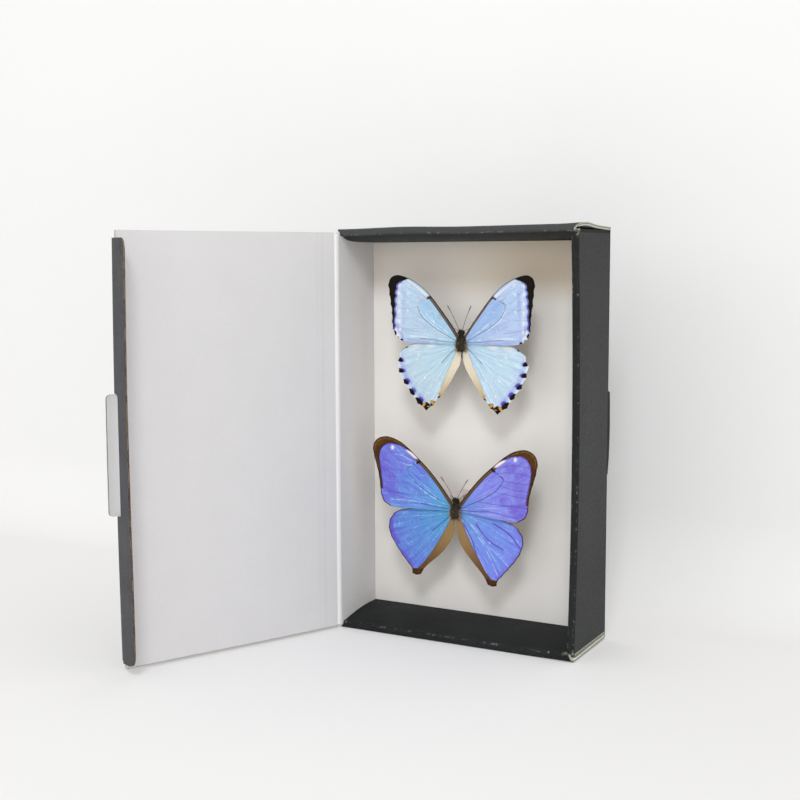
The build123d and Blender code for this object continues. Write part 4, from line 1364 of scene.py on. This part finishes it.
def stage_sheet(name, outline, x0, x1, tones, front_only=False):
    """Plain pale paper, with painted shade that makes it darker towards the right. What the camera
    sees of it is partly even, so its shadows stay faint.
    """
    look, t, at = material(name + "_paper")
    # Painted shade: the paper gets darker towards +x, for the fall of the light across the stage.
    tone = t.band(t.split(at)[0], -0.10, 0.20, *tones)
    colour = t.mix(t.noise(at, 3, 3, 0.5), (0.85, 0.85, 0.85), (0.88, 0.88, 0.88))
    colour = t.put("HueSaturation", {"Value": tone, "Color": colour})
    shader = t.put("BsdfPrincipled", {"Base Color": colour, "Roughness": 0.9,
                                      "Specular IOR Level": 0.1})
    even = t.put("Emission", {"Color": colour, "Strength": 1.12})
    shader = t.put("MixShader", {0: t.times(t.put("LightPath"), 0.12), 1: shader, 2: even})
    if front_only:
        shader = t.put("MixShader", {0: t.put("NewGeometry", out=6), 1: shader,
                                     2: t.put("BsdfTransparent")})
    t.put("OutputMaterial", {"Surface": shader})
    points = [(x, y, z) for y, z in outline for x in (x0, x1)]
    faces = [[2 * i, 2 * i + 1, 2 * i + 3, 2 * i + 2] for i in range(len(outline) - 1)]
    made = make(name, points, faces, [look], tidy=False, sharp=60)
    return made


floor = stage_sheet("floor", [(-FAR, 0), (FAR, 0)], -FAR, FAR, (1.05, 1.03))
floor.location.z = -0.0014
sweep = [(-700, -0.9), (60, -0.9)]
sweep += [(60 + 55 * math.sin(a), 54.1 - 55 * math.cos(a))
          for a in np.linspace(0.05, math.pi / 2, 16)]
backdrop = stage_sheet("backdrop", sweep + [(115, 1600)], -2200, 1500, (1.02, 0.99), True)
backdrop.visible_diffuse = backdrop.visible_glossy = backdrop.visible_shadow = False
backdrop.visible_transmission = False

world = bpy.data.worlds.new("world")
bpy.context.scene.world = world
w = Tree(world)
seen = w.put("Background", {"Color": (0.90, 0.90, 0.90), "Strength": 1.0})
light = w.put("Background", {"Color": (1.0, 0.978, 0.945), "Strength": 0.8})
w.put("OutputWorld", {"Surface": w.put("MixShader", {0: w.put("LightPath"), 1: light, 2: seen})})


def lamp(name, size, power, colour, azimuth, elevation, away):
    """An area lamp aimed at the case; azimuth 0 is straight in front, and + is to the right."""
    light = bpy.data.lights.new(name, "AREA")
    light.shape, light.size, light.size_y, light.energy = "RECTANGLE", *size, power
    light.color = colour
    made = bpy.data.objects.new(name, light)
    bpy.context.scene.collection.objects.link(made)
    a, e = math.radians(azimuth), math.radians(elevation)
    towards = Vector((math.sin(a) * math.cos(e), -math.cos(a) * math.cos(e), math.sin(e)))
    made.location = Vector((0, 0, 0.107)) + towards * away
    made.rotation_mode = "QUATERNION"
    made.rotation_quaternion = towards.to_track_quat("Z", "Y")


lamp("key", (0.45, 0.45), 12.8, (0.93, 0.96, 1.0), 21, 40, 2.0)
lamp("fill", (2.0, 1.0), 4.5, (0.94, 0.97, 1.0), -25, 17, 2.4)

# ------------------------------------------------------------------ camera
SENSOR_MM, FOCAL_PX, PICTURE_PX = 36.0, 1265.9, 800
yaw, pitch, roll = (math.radians(a) for a in (-28.571, -6.28, -0.216))
ahead = Vector((math.sin(yaw) * math.cos(pitch), math.cos(yaw) * math.cos(pitch),
                math.sin(pitch)))
across = Vector((math.cos(yaw), -math.sin(yaw), 0))
up = across.cross(ahead)
side = across * math.cos(roll) + up * math.sin(roll)
up = up * math.cos(roll) - across * math.sin(roll)
camera_data = bpy.data.cameras.new("camera")
camera_data.sensor_width, camera_data.lens = SENSOR_MM, SENSOR_MM * FOCAL_PX / PICTURE_PX
camera_data.clip_start, camera_data.clip_end = 0.01, 20
camera = bpy.data.objects.new("camera", camera_data)
bpy.context.scene.collection.objects.link(camera)
camera.rotation_mode = "QUATERNION"
camera.rotation_quaternion = Matrix((side, up, -ahead)).transposed().to_quaternion()
camera.location = (0.28446, -0.60123, 0.19838)
bpy.context.scene.camera = camera
bpy.context.scene.view_settings.view_transform = "Standard"

bpy.context.view_layer.update()
